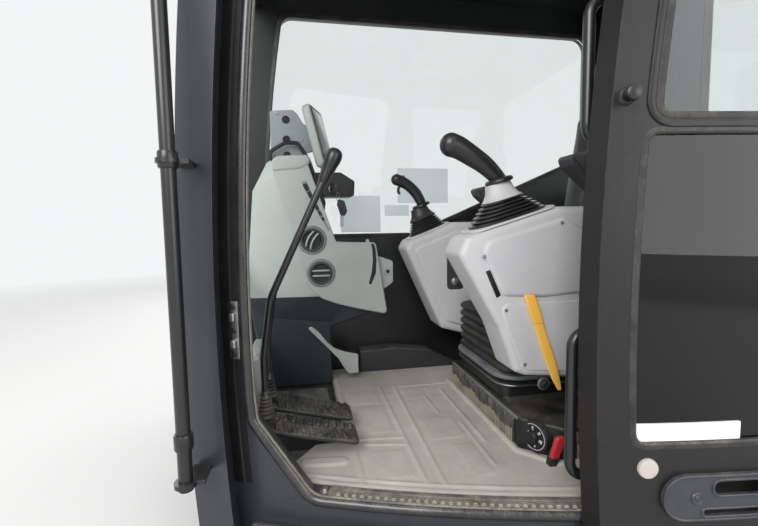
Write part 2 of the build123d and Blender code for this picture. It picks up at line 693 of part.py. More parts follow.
hatch_outline = rounded(
    HATCH_X0 - HATCH_LAP, HATCH_X1 + HATCH_LAP, HATCH_Y0 - HATCH_LAP, HATCH_Y1 + HATCH_LAP, REAR_CORNER * 1.5
)
pull_x = HATCH_X1 - 3 * HATCH_LAP
pull_y = (HATCH_Y0 + HATCH_Y1) / 2
with BuildPart() as roof_hatch:
    with BuildSketch(Plane.XY.offset(hatch_bottom)):
        add(hatch_outline)
    extrude(amount=HATCH_T)
    chamfer(roof_hatch.faces().sort_by(Axis.Z)[-1].edges(), HATCH_T / 3)
    for y in HATCH_HINGES:
        add(knuckle(y, 3 * HATCH_KNUCKLE - 2 * SEAT_GAP))
        with BuildSketch(Plane.XY.offset(hatch_pin_z - HATCH_KNUCKLE / 2)):
            with Locations((hatch_pin_x + HATCH_PIN, y)):
                Rectangle(2 * HATCH_PIN, 3 * HATCH_KNUCKLE - 2 * SEAT_GAP)
        extrude(amount=HATCH_KNUCKLE)
    for y in (pull_y - HATCH_LAP * 2, pull_y + HATCH_LAP * 2):
        with BuildSketch(Plane.XY.offset(hatch_bottom - HATCH_LAP)):
            with Locations((pull_x, y)):
                Circle(HATCH_KNUCKLE)
        extrude(amount=HATCH_LAP)
    with BuildSketch(Plane.XZ.offset(-(pull_y + HATCH_LAP * 2))):
        with Locations((pull_x, hatch_bottom - HATCH_LAP)):
            Circle(HATCH_KNUCKLE)
    extrude(amount=HATCH_LAP * 4)
write(roof_hatch.part, "roof_hatch")

# Door, made shut and then slid open
door_edge = DOOR_REBATE + CLEAR
with BuildSketch() as door_outline:
    add(behind_front(door_edge, DOOR_REAR, DOOR_BOTTOM, DOOR_TOP))
    fillet(door_outline.vertices(), DOOR_GAP)
pane_rear = DOOR_REAR + STILE_REAR
with BuildSketch() as pane_upper:
    add(behind_front(door_edge + STILE_UPPER, pane_rear, WAIST + WAIST_BAR, PANE_TOP))
    fillet(pane_upper.vertices(), PANE_R)
with BuildSketch() as pane_lower:
    add(behind_front(door_edge + STILE_LOWER, pane_rear, PANE_BOTTOM, WAIST))
    fillet(pane_lower.vertices(), PANE_R)
handle_plate = rounded(
    HANDLE_X - HANDLE_W / 2, HANDLE_X + HANDLE_W / 2, HANDLE_Z - HANDLE_H / 2, HANDLE_Z + HANDLE_H / 2,
    HANDLE_H / 2 - 1,
)
door_in = SIDE_R + DOOR_GAP
door_sheet = cut_out(door_outline.sketch, pane_upper.sketch, pane_lower.sketch)
with BuildPart() as door_frame:
    add(side_wall(door_in, OUTER_R, door_sheet))
    pocket = shrunk(handle_plate, HANDLE_T)
    add(side_wall(OUTER_R - HANDLE_POCKET, OUTER_R + DOOR_T, pocket), mode=Mode.SUBTRACT)
    for x, z, radius, proud in DOOR_KNOBS:
        with BuildSketch(side_plane(side_angle(x, OUTER_R), OUTER_R - DOOR_T / 2, z)):
            Circle(radius)
        extrude(amount=DOOR_T / 2 + proud)
write(opened(door_frame.part), "door_frame")
pane_r = OUTER_R - HANDLE_T
write(opened(side_wall(pane_r - GLASS, pane_r, shrunk(pane_upper.sketch))), "door_glass_upper")
write(opened(side_wall(pane_r - GLASS, pane_r, shrunk(pane_lower.sketch))), "door_glass_lower")

finger_slots = [
    rounded(HANDLE_X + x0, HANDLE_X + x1, HANDLE_Z + z0, HANDLE_Z + z1, (z1 - z0) / 2 - 1)
    for x0, x1, z0, z1 in FINGER_SLOTS
]
handle = side_wall(OUTER_R + SEAT_GAP, OUTER_R + HANDLE_T, cut_out(handle_plate, *finger_slots))
write(opened(handle), "door_handle")

# Door rails: channels that open towards the door, bent to its arc
roller_r = SIDE_R + DOOR_GAP + DOOR_T / 2
channel_half = ROLLER_D / 2 + ROLLER_GAP
rail_a0 = side_angle(REAR_X + RAIL_END)
rail_start = math.radians(rail_a0)
rail_plane = Plane(
    origin=(SIDE_X, SIDE_Y, 0),
    x_dir=(math.sin(rail_start), math.cos(rail_start), 0),
    z_dir=(math.cos(rail_start), -math.sin(rail_start), 0),
)


def rail(z0, z1, z_flange, x_front):
    """A rail from the cab's rear to x_front: a foot on the skin, a flange and two lips for the rollers."""
    outer_lip = roller_r + channel_half + RAIL_T
    foot = SIDE_R + SEAT_GAP
    with BuildPart(mode=Mode.PRIVATE) as bar:
        with BuildSketch(rail_plane):
            with Locations(((foot + outer_lip) / 2, z_flange)):
                Rectangle(outer_lip - foot, RAIL_T)
            for r0 in (foot, roller_r - channel_half - RAIL_T, roller_r + channel_half):
                with Locations((r0 + RAIL_T / 2, (z0 + z1) / 2)):
                    Rectangle(RAIL_T, z1 - z0)
        revolve(
            axis=Axis((SIDE_X, SIDE_Y, 0), (0, 0, -1)), revolution_arc=side_angle(x_front, OUTER_R) - rail_a0
        )
    return bar.part


upper_z0 = DOOR_TOP + RAIL_CLEAR
upper_z1 = upper_z0 + RAIL_H
lower_z1 = DOOR_BOTTOM - RAIL_CLEAR
rail_front = front_x(DOOR_REBATE, WALL_TOP) - RAIL_END / 2
write(rail(upper_z0, upper_z1, upper_z1 - RAIL_T / 2, rail_front), "door_rail_upper")
rail_front = front_x(DOOR_REBATE, RAIL_LOW) - RAIL_END / 2
write(rail(RAIL_LOW, lower_z1, RAIL_LOW + RAIL_T / 2, rail_front), "door_rail_lower")

roller_x = (DOOR_REAR + STILE_REAR, front_x(door_edge, DOOR_TOP) - STILE_LOWER)
wheel_rise = (RAIL_H - RAIL_T - ROLLER_H) / 2
rollers = []
for x in roller_x:
    spot = side_plane(side_angle(x, roller_r), roller_r, 0).origin
    for pin_z0, pin_z1, wheel_z in (
        (DOOR_TOP, upper_z0 + wheel_rise + ROLLER_H, upper_z0 + wheel_rise),
        (lower_z1 - wheel_rise - ROLLER_H, DOOR_BOTTOM, lower_z1 - wheel_rise - ROLLER_H),
    ):
        with BuildPart() as roller:
            with BuildSketch(Plane.XY.offset(pin_z0)):
                with Locations((spot.X, spot.Y)):
                    Circle(ROLLER_D / 6)
            extrude(amount=pin_z1 - pin_z0)
            with BuildSketch(Plane.XY.offset(wheel_z)):
                with Locations((spot.X, spot.Y)):
                    Circle(ROLLER_D / 2)
            extrude(amount=ROLLER_H)
        rollers.append(opened(roller.part))
write(Compound(children=rollers), "door_rollers")

# Mat with raised tiles; it ends in front of the pedals' well
mat_r = INNER_R - MAT_GAP
mat_end = front_x(FRONT_DEPTH, MAT_TOP) - MAT_GAP
mat_plan = cell_plan(mat_r, INNER_RIGHT + MAT_GAP, INNER_REAR + MAT_GAP, mat_end)
corner_start, corner_end, corner_out = WELL_CORNER
well = polygon(
    [(MAT_FRONT, -REACH / 2), (MAT_FRONT, WELL_LEFT), (MAT_FRONT + corner_start, WELL_LEFT),
     (MAT_FRONT + corner_end, WELL_LEFT + corner_out), (REACH / 2, WELL_LEFT + corner_out),
     (REACH / 2, -REACH / 2)]
)
tile_x, tile_y, tile_h, tile_gap = TILE
tile_area = (RISER_FRONT + tile_gap, MAT_FRONT - tile_gap, SEAT_RIGHT, side_y(MAT_FRONT, INNER_R) - tile_gap)
columns = int((tile_area[1] - tile_area[0]) / (tile_x + tile_gap))
rows = int((tile_area[3] - tile_area[2]) / (tile_y + tile_gap))
with BuildPart() as floor_mat:
    with BuildSketch(Plane.XY.offset(FLOOR_TOP)):
        add(mat_plan)
        add(well, mode=Mode.SUBTRACT)
    extrude(amount=MAT_T)
    with BuildSketch(Plane.XY.offset(MAT_TOP)):
        with Locations(((tile_area[0] + tile_area[1]) / 2, (tile_area[2] + tile_area[3]) / 2)):
            with GridLocations(tile_x + tile_gap, tile_y + tile_gap, columns, rows):
                RectangleRounded(tile_x, tile_y, tile_gap / 2)
    extrude(amount=tile_h, taper=30)
write(floor_mat.part, "floor_mat")

# Seat riser on the mat, with a ribbed skirt and a dial housing, and two slide rails
riser_y = (SEAT_RIGHT - RISER_RIGHT, SEAT_LEFT + RISER_LEFT)
riser_z = RISER_TOP - SLIDE_H
riser_plan = polygon(
    [(RISER_REAR, riser_y[0]), (RISER_FRONT, riser_y[0]), (RISER_FRONT, riser_y[1] - RISER_CORNER),
     (RISER_FRONT - RISER_CORNER, riser_y[1]), (RISER_REAR, riser_y[1])],
    RISER_CORNER / 4,
)
dial_turn = math.radians(DIAL_TURN)
dial_plane = Plane(
    origin=(DIAL_X, DIAL_Y, MAT_TOP + DIAL_Z),
    x_dir=(-math.sin(dial_turn), math.cos(dial_turn), 0),
    z_dir=(math.cos(dial_turn), math.sin(dial_turn), 0),
)
skirt_y = (riser_y[0] + PAD_R, riser_y[1] - RISER_CORNER - PAD_R)
skirt_ribs = int((skirt_y[1] - skirt_y[0]) / (3 * RISER_RIB)) + 1
with BuildPart() as seat_riser:
    with BuildSketch(Plane.XY.offset(MAT_TOP)):
        add(riser_plan)
    extrude(amount=riser_z - MAT_TOP)
    with BuildSketch(dial_plane.offset(-DIAL_D)):
        Circle(DIAL_D / 2)
    extrude(amount=DIAL_D)
    with BuildSketch(Plane.XY.offset(MAT_TOP + RISER_RIB)):
        with Locations((RISER_FRONT, (skirt_y[0] + skirt_y[1]) / 2)):
            with GridLocations(RISER_RIB, 3 * RISER_RIB, 1, skirt_ribs):
                Rectangle(RISER_RIB, RISER_RIB)
    extrude(amount=riser_z - MAT_TOP - 3 * RISER_RIB)
write(seat_riser.part, "seat_riser")

seat_rails = []
for y in (SEAT_Y - SLIDE_Y, SEAT_Y + SLIDE_Y):
    with BuildPart() as seat_rail:
        with BuildSketch(Plane.XY.offset(riser_z)):
            with Locations(((RISER_REAR + RISER_FRONT) / 2, y)):
                Rectangle(RISER_FRONT - RISER_REAR - PAD_R, SLIDE_W)
        extrude(amount=SLIDE_H)
    seat_rails.append(seat_rail.part)
write(Compound(children=seat_rails), "seat_rails")

# Red release handle, hinged at its foot on the riser's left face
release_z = MAT_TOP + SEAT_GAP
release = polygon(
    [(RELEASE_X + 30, release_z), (RELEASE_X + 10, release_z), (RELEASE_X - 20, riser_z - RELEASE_T),
     (RELEASE_X + 2, riser_z - RELEASE_T)],
    RELEASE_T / 4,
)
write(slab_y(release, riser_y[1] + SEAT_GAP, riser_y[1] + RELEASE_T), "seat_release")

# Suspension: slide plates, then folds of the bellows up to the seat's pan
cushion_z = SEAT_TOP - CUSHION
susp_rear = SEAT_REAR + PAD_R / 2
z = RISER_TOP + SEAT_GAP
with BuildPart() as seat_suspension:
    for height, x_front, side_in, radius in SUSPENSION:
        half = SEAT_W / 2 - side_in
        with BuildSketch(Plane.XY.offset(z)):
            add(rounded(susp_rear, x_front, SEAT_Y - half, SEAT_Y + half, radius))
        extrude(amount=height)
        z = z + height
    fold_h = (cushion_z - EAR_T - z) / (2 * FOLDS)
    x_fold = SUSPENSION[-1][1] - FOLD_IN
    half_fold = half - FOLD_IN
    for fold in range(2 * FOLDS):
        inset = FOLD_IN * (fold % 2 == 0)
        with BuildSketch(Plane.XY.offset(z + fold * fold_h)):
            half = half_fold - inset
            add(rounded(susp_rear + inset, x_fold - inset, SEAT_Y - half, SEAT_Y + half, PAD_R))
        extrude(amount=fold_h)
write(seat_suspension.part, "seat_suspension")


def padded_outline(foot, top, dip):
    """Cross-section of a pad with a bolster on either side, between two levels."""
    left = SEAT_LEFT - BOLSTER_W
    right = SEAT_RIGHT + BOLSTER_W
    return polygon(
        [
            (SEAT_RIGHT, foot), (SEAT_LEFT, foot), (SEAT_LEFT, top), (left, top),
            (left - BOLSTER_SLOPE, top - dip), (right + BOLSTER_SLOPE, top - dip), (right, top),
            (SEAT_RIGHT, top),
        ],
        PAD_R / 4,
    )


# Cushion, back and headrest
with BuildPart() as seat_cushion:
    add(slab_x(padded_outline(cushion_z, SEAT_TOP, BOLSTER_DIP), SEAT_REAR, SEAT_FRONT))
    cushion_side = rounded(SEAT_REAR, SEAT_FRONT, cushion_z, SEAT_TOP, PAD_R)
    add(slab_y(cushion_side, SEAT_RIGHT, SEAT_LEFT), mode=Mode.INTERSECT)
write(seat_cushion.part, "seat_cushion")

# Seat frame: a pan under the cushion with two ears that carry the back's pivots
ear_y = (SEAT_RIGHT - SEAT_GAP - EAR_T, SEAT_LEFT + SEAT_GAP)
ear_foot = SEAT_REAR + RECLINE_DROP
ear_half = PIVOT_D * 1.5
pan_z = cushion_z - EAR_T
ear_top = RECLINE_Z + PIVOT_D
ear = polygon(
    [(ear_foot, cushion_z), (ear_foot, pan_z), (RECLINE_X - ear_half, pan_z), (RECLINE_X - ear_half, ear_top),
     (RECLINE_X + ear_half, ear_top), (SEAT_REAR, cushion_z)]
)
pan_x = (SEAT_REAR + PAD_R, SEAT_FRONT - PAD_R)
with BuildPart() as seat_frame:
    with BuildSketch(Plane.XY.offset(pan_z)):
        with Locations(((pan_x[0] + pan_x[1]) / 2, SEAT_Y)):
            Rectangle(pan_x[1] - pan_x[0], SEAT_W + 2 * (SEAT_GAP + EAR_T))
    extrude(amount=EAR_T - SEAT_GAP)
    for y in ear_y:
        with BuildSketch(Plane.XZ.offset(-y - EAR_T)):
            add(ear)
            with Locations((RECLINE_X, RECLINE_Z)):
                Circle(PIVOT_D / 2 + SEAT_GAP, mode=Mode.SUBTRACT)
        extrude(amount=EAR_T)
write(seat_frame.part, "seat_frame")

back_x = RECLINE_X - BACK_SET
back_z = RECLINE_Z - BACK_FOOT
back_side = rounded(back_x - BACK_T / 2, back_x + BACK_T / 2, back_z, back_z + BACK_H, PAD_R)
with BuildSketch() as back_plan:
    with Locations(Location((back_x - BACK_T / 2, 0, 0), (0, 0, 0))):
        add(padded_outline(0, BACK_T, BOLSTER_DIP).rotate(Axis.Z, -90).mirror(Plane.XZ))
with BuildPart() as seat_back:
    with BuildSketch(Plane.XY.offset(back_z)):
        add(back_plan.sketch)
    extrude(amount=BACK_H)
    add(slab_y(back_side, SEAT_RIGHT, SEAT_LEFT), mode=Mode.INTERSECT)
    with BuildSketch(Plane.XZ.offset(-(SEAT_LEFT + EAR_T + PIVOT_END))):
        with Locations((RECLINE_X, RECLINE_Z)):
            Circle(PIVOT_D / 2)
    extrude(amount=SEAT_W + 2 * (EAR_T + PIVOT_END))
headrest_z = back_z + BACK_H + SEAT_GAP
headrest_x = (back_x - HEADREST_T / 2, back_x + HEADREST_T / 2)
headrest_side = rounded(*headrest_x, headrest_z, headrest_z + HEADREST_H, PAD_R)
headrest = slab_y(headrest_side, SEAT_Y - HEADREST_W / 2, SEAT_Y + HEADREST_W / 2)
recline_axis = Axis((RECLINE_X, 0, RECLINE_Z), (0, -1, 0))
write(seat_back.part.rotate(recline_axis, RECLINE_LEAN), "seat_back")
write(headrest.rotate(recline_axis, RECLINE_LEAN), "headrest")


def over_seat(points):
    """Side-view points given as x and height over the cushion's top."""
    return [(x, SEAT_TOP + rise) for x, rise in points]


# Consoles beside the seat: a body with panels proud of the face that shows from the door
left_face = LEFT_CONSOLE[1] - PANEL_PROUD
with BuildPart() as left_console:
    add(slab_y(polygon(over_seat(LEFT_SIDE), CONSOLE_R), LEFT_CONSOLE[0], left_face))
    chamfer(left_console.faces().sort_by(Axis.Y)[-1].edges(), PANEL_PROUD)
    add(slab_y(polygon(over_seat(LEFT_LOWER), CONSOLE_R), left_face, left_face + PANEL_PROUD / 2))
    add(slab_y(polygon(over_seat(LEFT_UPPER), CONSOLE_R), left_face, left_face + PANEL_PROUD))
write(left_console.part, "left_console")

right_face = RIGHT_CONSOLE[1] - PANEL_PROUD
right_outline = polygon(over_seat(RIGHT_SIDE), CONSOLE_R)
recess_x0, recess_x1, recess_z0, recess_z1 = RIGHT_RECESS
recess = rounded(recess_x0, recess_x1, SEAT_TOP + recess_z0, SEAT_TOP + recess_z1, CONSOLE_R)
button_x = (recess_x0 + recess_x1) / 2
with BuildPart() as right_console:
    add(slab_y(right_outline, RIGHT_CONSOLE[0], right_face))
    chamfer(right_console.faces().sort_by(Axis.Y)[-1].edges(), PANEL_PROUD)
    add(slab_y(shrunk(right_outline, 2 * CONSOLE_R), right_face, right_face + PANEL_PROUD))
    add(slab_y(recess, right_face + PANEL_PROUD - RECESS_DEEP, right_face + PANEL_PROUD), mode=Mode.SUBTRACT)
    with BuildSketch(Plane.XZ.offset(-(right_face + PANEL_PROUD))):
        with Locations((button_x, SEAT_TOP + recess_z0 + BUTTON_D)):
            Circle(BUTTON_D / 2)
    extrude(amount=RECESS_DEEP + PANEL_PROUD)
write(right_console.part, "right_console")

# Brackets that hang the consoles from the suspension
bracket_x = (susp_rear + BRACKET[0], susp_rear + BRACKET[1])
bracket_side = rounded(*bracket_x, cushion_z - BRACKET[3], cushion_z - BRACKET[2], PIVOT_D / 2)
brackets = [
    slab_y(bracket_side, SEAT_Y + half_fold, LEFT_CONSOLE[0]),
    slab_y(bracket_side, RIGHT_CONSOLE[1], SEAT_Y - half_fold),
]
write(Compound(children=brackets), "console_brackets")

# Armrests: a pad on a foot that stands on each console's top
armrests = []
for faces, outline in ((LEFT_CONSOLE, LEFT_SIDE), (RIGHT_CONSOLE, RIGHT_SIDE)):
    console_top = outline[2][1] + SEAT_GAP
    side_view = over_seat([(x, rise + console_top) for x, rise in ARMREST_SIDE])
    middle = (faces[0] + faces[1]) / 2
    armrests.append(slab_y(polygon(side_view, PIVOT_D / 2), middle - ARMREST_W / 2, middle + ARMREST_W / 2))
write(Compound(children=armrests), "armrests")


def stick(y, x, half, outline):
    """A stick on a console's sloping top: ribbed boot, collar, ring and a grip that leans forward."""
    (x_front, z_front), (x_rear, z_rear) = outline[1:3]
    t = math.atan2(z_rear - z_front, x_front - x_rear)
    rise = z_front + (x_front - x) * math.tan(t) + SEAT_GAP / math.cos(t)
    along = (math.cos(t), 0, -math.sin(t))
    foot = Plane(origin=(x, y, SEAT_TOP + rise), x_dir=along, z_dir=(math.sin(t), 0, math.cos(t)))
    side = Plane(origin=(x, y, SEAT_TOP + rise), x_dir=along, z_dir=(0, -1, 0))
    collar_l, collar_top, collar_h = COLLAR
    ring_d, ring_h = STICK_RING
    boot_h = BOOT_RIBS * BOOT_PITCH
    with BuildPart(mode=Mode.PRIVATE) as whole:
        for i in range(BOOT_RIBS):
            rib_half = half - (half - collar_l / 2) * i / (BOOT_RIBS - 0.4)
            rib_w = rib_half * (BOOT_RATIO + i * (1 - BOOT_RATIO) / (2 * BOOT_RIBS))
            groove = (BOOT_RIB_T, BOOT_PITCH - BOOT_RIB_T, BOOT_RIB_T)
            for z_rib, depth, shrink in ((0, BOOT_RIB_T, 0), groove):
                with BuildSketch(foot.offset(i * BOOT_PITCH + z_rib)):
                    RectangleRounded(2 * (rib_half - shrink), 2 * (rib_w - shrink), rib_w - shrink - 1)
                extrude(amount=depth)
        with BuildSketch(foot.offset(boot_h)):
            RectangleRounded(collar_l, collar_l * 0.8, collar_l * 0.39)
        with BuildSketch(foot.offset(boot_h + collar_h)):
            RectangleRounded(collar_top, collar_top * 0.8, collar_top * 0.39)
        loft()
        with BuildSketch(foot.offset(boot_h + collar_h)):
            Circle(ring_d / 2)
        extrude(amount=ring_h)
        add(tube(GRIP_PATH, GRIP_D, GRIP_D, side))
        with BuildSketch(side):
            with Locations(GRIP_PATH[-1]):
                Circle(GRIP_HEAD_D / 2)
                Rectangle(GRIP_HEAD_D, GRIP_HEAD_D, align=(Align.MAX, Align.CENTER), mode=Mode.SUBTRACT)
        head = side.from_local_coords((*GRIP_PATH[-1], 0))
        revolve(axis=Axis(head, side.y_dir), revolution_arc=360)
    return whole.part


write(stick(LEFT_CONSOLE[0] + LEFT_STICK_SET, *LEFT_STICK, LEFT_SIDE), "stick_left")
write(stick(RIGHT_CONSOLE[1] - RIGHT_STICK_SET, *RIGHT_STICK, RIGHT_SIDE), "stick_right")

# Lock lever on the left console, with the knob of its pivot
pivot_x, pivot_rise, pivot_d = LOCK_PIVOT
lever_y = left_face + PANEL_PROUD / 2 + SEAT_GAP
with BuildPart() as lock_lever:
    add(slab_y(polygon(over_seat(LOCK_LEVER)), lever_y, lever_y + PANEL_PROUD))
    with BuildSketch(Plane.XZ.offset(-(lever_y + 1.5 * PANEL_PROUD))):
        with Locations((pivot_x, SEAT_TOP + pivot_rise)):
            Circle(pivot_d / 2)
    extrude(amount=1.5 * PANEL_PROUD)
write(lock_lever.part, "lock_lever")

# Front right console: a body, and a panel that stands proud of it on the side towards the door
dash_wall = INNER_RIGHT + SEAT_GAP
dash_side = [(DASH_FOOT[1], FLOOR_TOP), *DASH_BODY, (DASH_FOOT[0], FLOOR_TOP)]
slot_start, slot_end, slot_w = SWITCH_SLOT
slot_turn = math.degrees(math.atan2(slot_start[1] - slot_end[1], slot_start[0] - slot_end[0]))
slot_middle = ((slot_start[0] + slot_end[0]) / 2, (slot_start[1] + slot_end[1]) / 2)
with BuildSketch() as switch_slot:
    with Locations(Location(slot_middle, slot_turn)):
        Rectangle(math.dist(slot_start, slot_end), slot_w)
with BuildPart() as front_console:
    add(slab_y(polygon(dash_side, CONSOLE_R), dash_wall, DASH_Y - DASH_PANEL))
    add(slab_y(polygon(DASH_FACE, CONSOLE_R), DASH_Y - DASH_PANEL, DASH_Y))
    chamfer(front_console.faces().sort_by(Axis.Y)[-1].edges(), DASH_PANEL / 3)
    add(slab_y(switch_slot.sketch, DASH_Y - RECESS_DEEP, DASH_Y), mode=Mode.SUBTRACT)
    add(slab_y(polygon(PLUG_PLATE, CONSOLE_R), DASH_Y - PLUG_SET - PLATE_T, DASH_Y - PLUG_SET))
    with BuildSketch(Plane.XZ.offset(-(DASH_Y - PLUG_SET + PLATE_T / 2))):
        with Locations(*PLUGS):
            Circle(PLUG_D / 2)
    extrude(amount=PLATE_T)
    flap = polygon(FLAP, CONSOLE_R)
    with BuildSketch(Plane.XZ.offset(-FLAP_Y)):
        add(flap)
        with Locations(FLAP_HOLE):
            Circle(PLUG_D / 2, mode=Mode.SUBTRACT)
    extrude(amount=PLATE_T)

# Monitor, turned towards the operator, on the console's plate
turn = math.radians(MONITOR_TURN)
lean = math.radians(MONITOR_LEAN)
screen = Plane(
    origin=MONITOR_CORNER,
    x_dir=(-math.sin(turn), -math.cos(turn), 0),
    z_dir=(-math.cos(turn) * math.cos(lean), math.sin(turn) * math.cos(lean), math.sin(lean)),
)


def monitor_box(grow):
    """The monitor's housing, grown all round."""
    with BuildPart(mode=Mode.PRIVATE) as box:
        with BuildSketch(screen.offset(grow)):
            with Locations((MONITOR_W / 2, MONITOR_H / 2)):
                RectangleRounded(MONITOR_W + 2 * grow, MONITOR_H + 2 * grow, CONSOLE_R)
        extrude(amount=-MONITOR_T - 2 * grow)
    return box.part


with BuildPart() as monitor:
    add(monitor_box(0))
    with BuildSketch(screen):
        with Locations((MONITOR_W / 2, MONITOR_H / 2)):
            RectangleRounded(MONITOR_W - 2 * PLATE_T, MONITOR_H - 2 * PLATE_T, CONSOLE_R / 2)
    extrude(amount=-PLATE_T / 4, mode=Mode.SUBTRACT)
write(monitor.part, "monitor")
with BuildPart() as console_whole:
    add(front_console.part)
    add(monitor_box(SEAT_GAP), mode=Mode.SUBTRACT)
write(console_whole.part, "front_console")

# Lead that comes out of the console's top and lies along its rear edge down to the switches
with BuildPart() as console_lead:
    add(tube(LEAD_PATH, LEAD_D, 1.5 * LEAD_D, Plane.XZ.offset(LEAD_IN - DASH_Y)))
    add(slab_y(shrunk(polygon(dash_side, CONSOLE_R), -SEAT_GAP), dash_wall, DASH_Y), mode=Mode.SUBTRACT)
write(console_lead.part, "console_lead")

vents = []
for x, z in VENTS:
    with BuildPart() as vent:
        with BuildSketch(Plane.XZ.offset(-(DASH_Y + VENT_PROUD))):
            with Locations((x, z)):
                Circle(VENT_D / 2)
                Circle(VENT_D / 2 - VENT_RIM, mode=Mode.SUBTRACT)
                with Locations((0, VENT_RIM), (0, -VENT_RIM)):
                    Rectangle(VENT_D - VENT_RIM, VENT_RIM / 3)
        extrude(amount=VENT_PROUD)
    vents.append(vent.part)
write(Compound(children=vents), "vent_rings")

# Switch box with the ignition, behind the console's rear edge
with BuildPart() as switch_box:
    add(slab_y(polygon(SWITCH_BOX, CONSOLE_R / 2), *SWITCH_BOX_Y))
    add(slab_y(shrunk(polygon(dash_side, CONSOLE_R), -SEAT_GAP), dash_wall, DASH_Y), mode=Mode.SUBTRACT)
    add(monitor_box(SEAT_GAP), mode=Mode.SUBTRACT)
write(switch_box.part, "switch_box")

# Pedals and travel levers
pedal_x0, pedal_x1 = PEDAL_X
pedal_slope = math.atan2(PEDAL_RISE, pedal_x1 - pedal_x0)
pedal_l = math.hypot(PEDAL_RISE, pedal_x1 - pedal_x0)
for side, y in zip(("right", "left"), PEDAL_Y):
    deck = Plane(
        origin=(pedal_x0, y, MAT_TOP + PEDAL_Z),
        x_dir=(math.cos(pedal_slope), 0, math.sin(pedal_slope)),
        z_dir=(-math.sin(pedal_slope), 0, math.cos(pedal_slope)),
    )
    lever_x = LEVER_PATH[0][0]
    lever_foot = MAT_TOP + LEVER_PATH[0][1]
    pivot_z = MAT_TOP + PEDAL_Z + (lever_x - pedal_x0) * math.tan(pedal_slope)
    with BuildPart() as pedal:
        with BuildSketch(deck.offset(-PEDAL_T)):
            with Locations((pedal_l / 2, 0)):
                RectangleRounded(pedal_l, PEDAL_W, PEDAL_T)
        extrude(amount=PEDAL_T)
        with BuildSketch(deck):
            with Locations((pedal_l / 2, 0)):
                with GridLocations((pedal_l - 2 * PEDAL_T) / PEDAL_RIBS, 1, PEDAL_RIBS, 1):
                    Rectangle(PEDAL_T / 2, PEDAL_W - PEDAL_T)
        extrude(amount=PEDAL_T / 3)
        leg = polygon(
            [(lever_x - 2 * LEVER_D, FLOOR_TOP), (lever_x + LEVER_D, FLOOR_TOP),
             (lever_x + LEVER_D / 2, pivot_z), (lever_x - LEVER_D, pivot_z - PEDAL_T / 2)]
        )
        add(slab_y(leg, y - LEVER_D, y + LEVER_D))
        with BuildSketch(Plane.XY.offset(pivot_z - PEDAL_T)):
            with Locations((lever_x, y)):
                Circle(LEVER_D * 0.8)
        extrude(amount=lever_foot - SEAT_GAP - pivot_z + PEDAL_T)
    write(pedal.part, f"pedal_{side}")
    path = [(x, MAT_TOP + rise) for x, rise in LEVER_PATH]
    (x_low, z_low), (x_end, z_end) = path[-2:]
    with BuildPart() as travel_lever:
        add(tube(path, LEVER_D, 3 * LEVER_D, Plane.XZ.offset(-y)))
        with BuildSketch(Plane(origin=(x_end, y, z_end), z_dir=(x_end - x_low, 0, z_end - z_low))):
            Circle(KNOB_D / 2)
        extrude(amount=KNOB_L)
        fillet(travel_lever.faces().sort_by(Axis.Z)[-1].edges(), KNOB_D / 3)
    write(travel_lever.part, f"travel_lever_{side}")

# Rear shelf behind the seat
shelf_y = INNER_RIGHT + MAT_GAP
shelf_plan = cell_plan(INNER_R - MAT_GAP, shelf_y, INNER_REAR + SEAT_GAP, SHELF_FRONT, CONSOLE_R)
write(slab_z(shelf_plan, MAT_TOP, MAT_TOP + SHELF_H), "rear_shelf")

# Handrail in front of the doorway, on plates round the front pillar's post
handrail_top = WALL_TOP - HANDRAIL_DROP
post_y = side_y(HANDRAIL_X - HANDRAIL_D, OUTER_R)
clamp_t = HANDRAIL_D / 3
with BuildPart() as handrail:
    with BuildSketch(Plane.XY.offset(HANDRAIL_BOTTOM)):
        with Locations((HANDRAIL_X, HANDRAIL_Y)):
            Circle(HANDRAIL_D / 2)
    extrude(amount=handrail_top - HANDRAIL_BOTTOM)
    for z in (HANDRAIL_BOTTOM + clamp_t, (HANDRAIL_BOTTOM + handrail_top) / 2, handrail_top - 2 * HANDRAIL_D):
        with BuildSketch(Plane.XY.offset(z)):
            with Locations((HANDRAIL_X - HANDRAIL_D * 0.7, (HANDRAIL_Y + post_y) / 2)):
                Rectangle(HANDRAIL_D * 1.3, HANDRAIL_Y - post_y + clamp_t)
            with Locations((HANDRAIL_X, HANDRAIL_Y)):
                Circle(HANDRAIL_D * 0.8)
        extrude(amount=clamp_t)
    post = side_wall(INNER_R, OUTER_R + SEAT_GAP, front_strip(0, DOOR_REBATE, RAIL_LOW, WALL_TOP))
    add(post, mode=Mode.SUBTRACT)
write(handrail.part, "handrail")

# Grab rails at the doorway's rear edge
grab_y = side_y(OPEN_REAR, SIDE_R - WALL / 2)
for name, x, z0, z1 in GRABS:
    points = [(OPEN_REAR, z1), (x, z1), (x, z0), (OPEN_REAR, z0)]
    write(tube(points, GRAB_D, 1.5 * GRAB_D, Plane.XZ.offset(-grab_y)), name)

# Latch striker in the front pillar's rebate: a plate with two lugs
striker_plane = side_plane(side_angle(STRIKER_X), SIDE_R + SEAT_GAP, STRIKER_Z)
with BuildPart() as striker:
    with BuildSketch(striker_plane):
        RectangleRounded(*STRIKER_PLATE, CLEAR)
    extrude(amount=CLEAR)
    with BuildSketch(striker_plane.offset(CLEAR)):
        with GridLocations(1, STRIKER_LUG[2], 1, 2):
            RectangleRounded(*STRIKER_LUG[:2], STRIKER_LUG[0] / 3)
    extrude(amount=CLEAR)
write(striker.part, "latch_striker")
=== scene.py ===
# %% [markdown]
# # An excavator's cab, from its solids to a picture
# The cab is made of steel channels, glass, moulded plastic, rubber and foam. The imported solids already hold
# every size and place. This lesson gives each surface its finish and builds the pieces that need softer or
# finer shapes than plain solids have. Every length is in metres: x runs to the machine's front, y to its left
# side, where the door is, and z up.

import json
import math

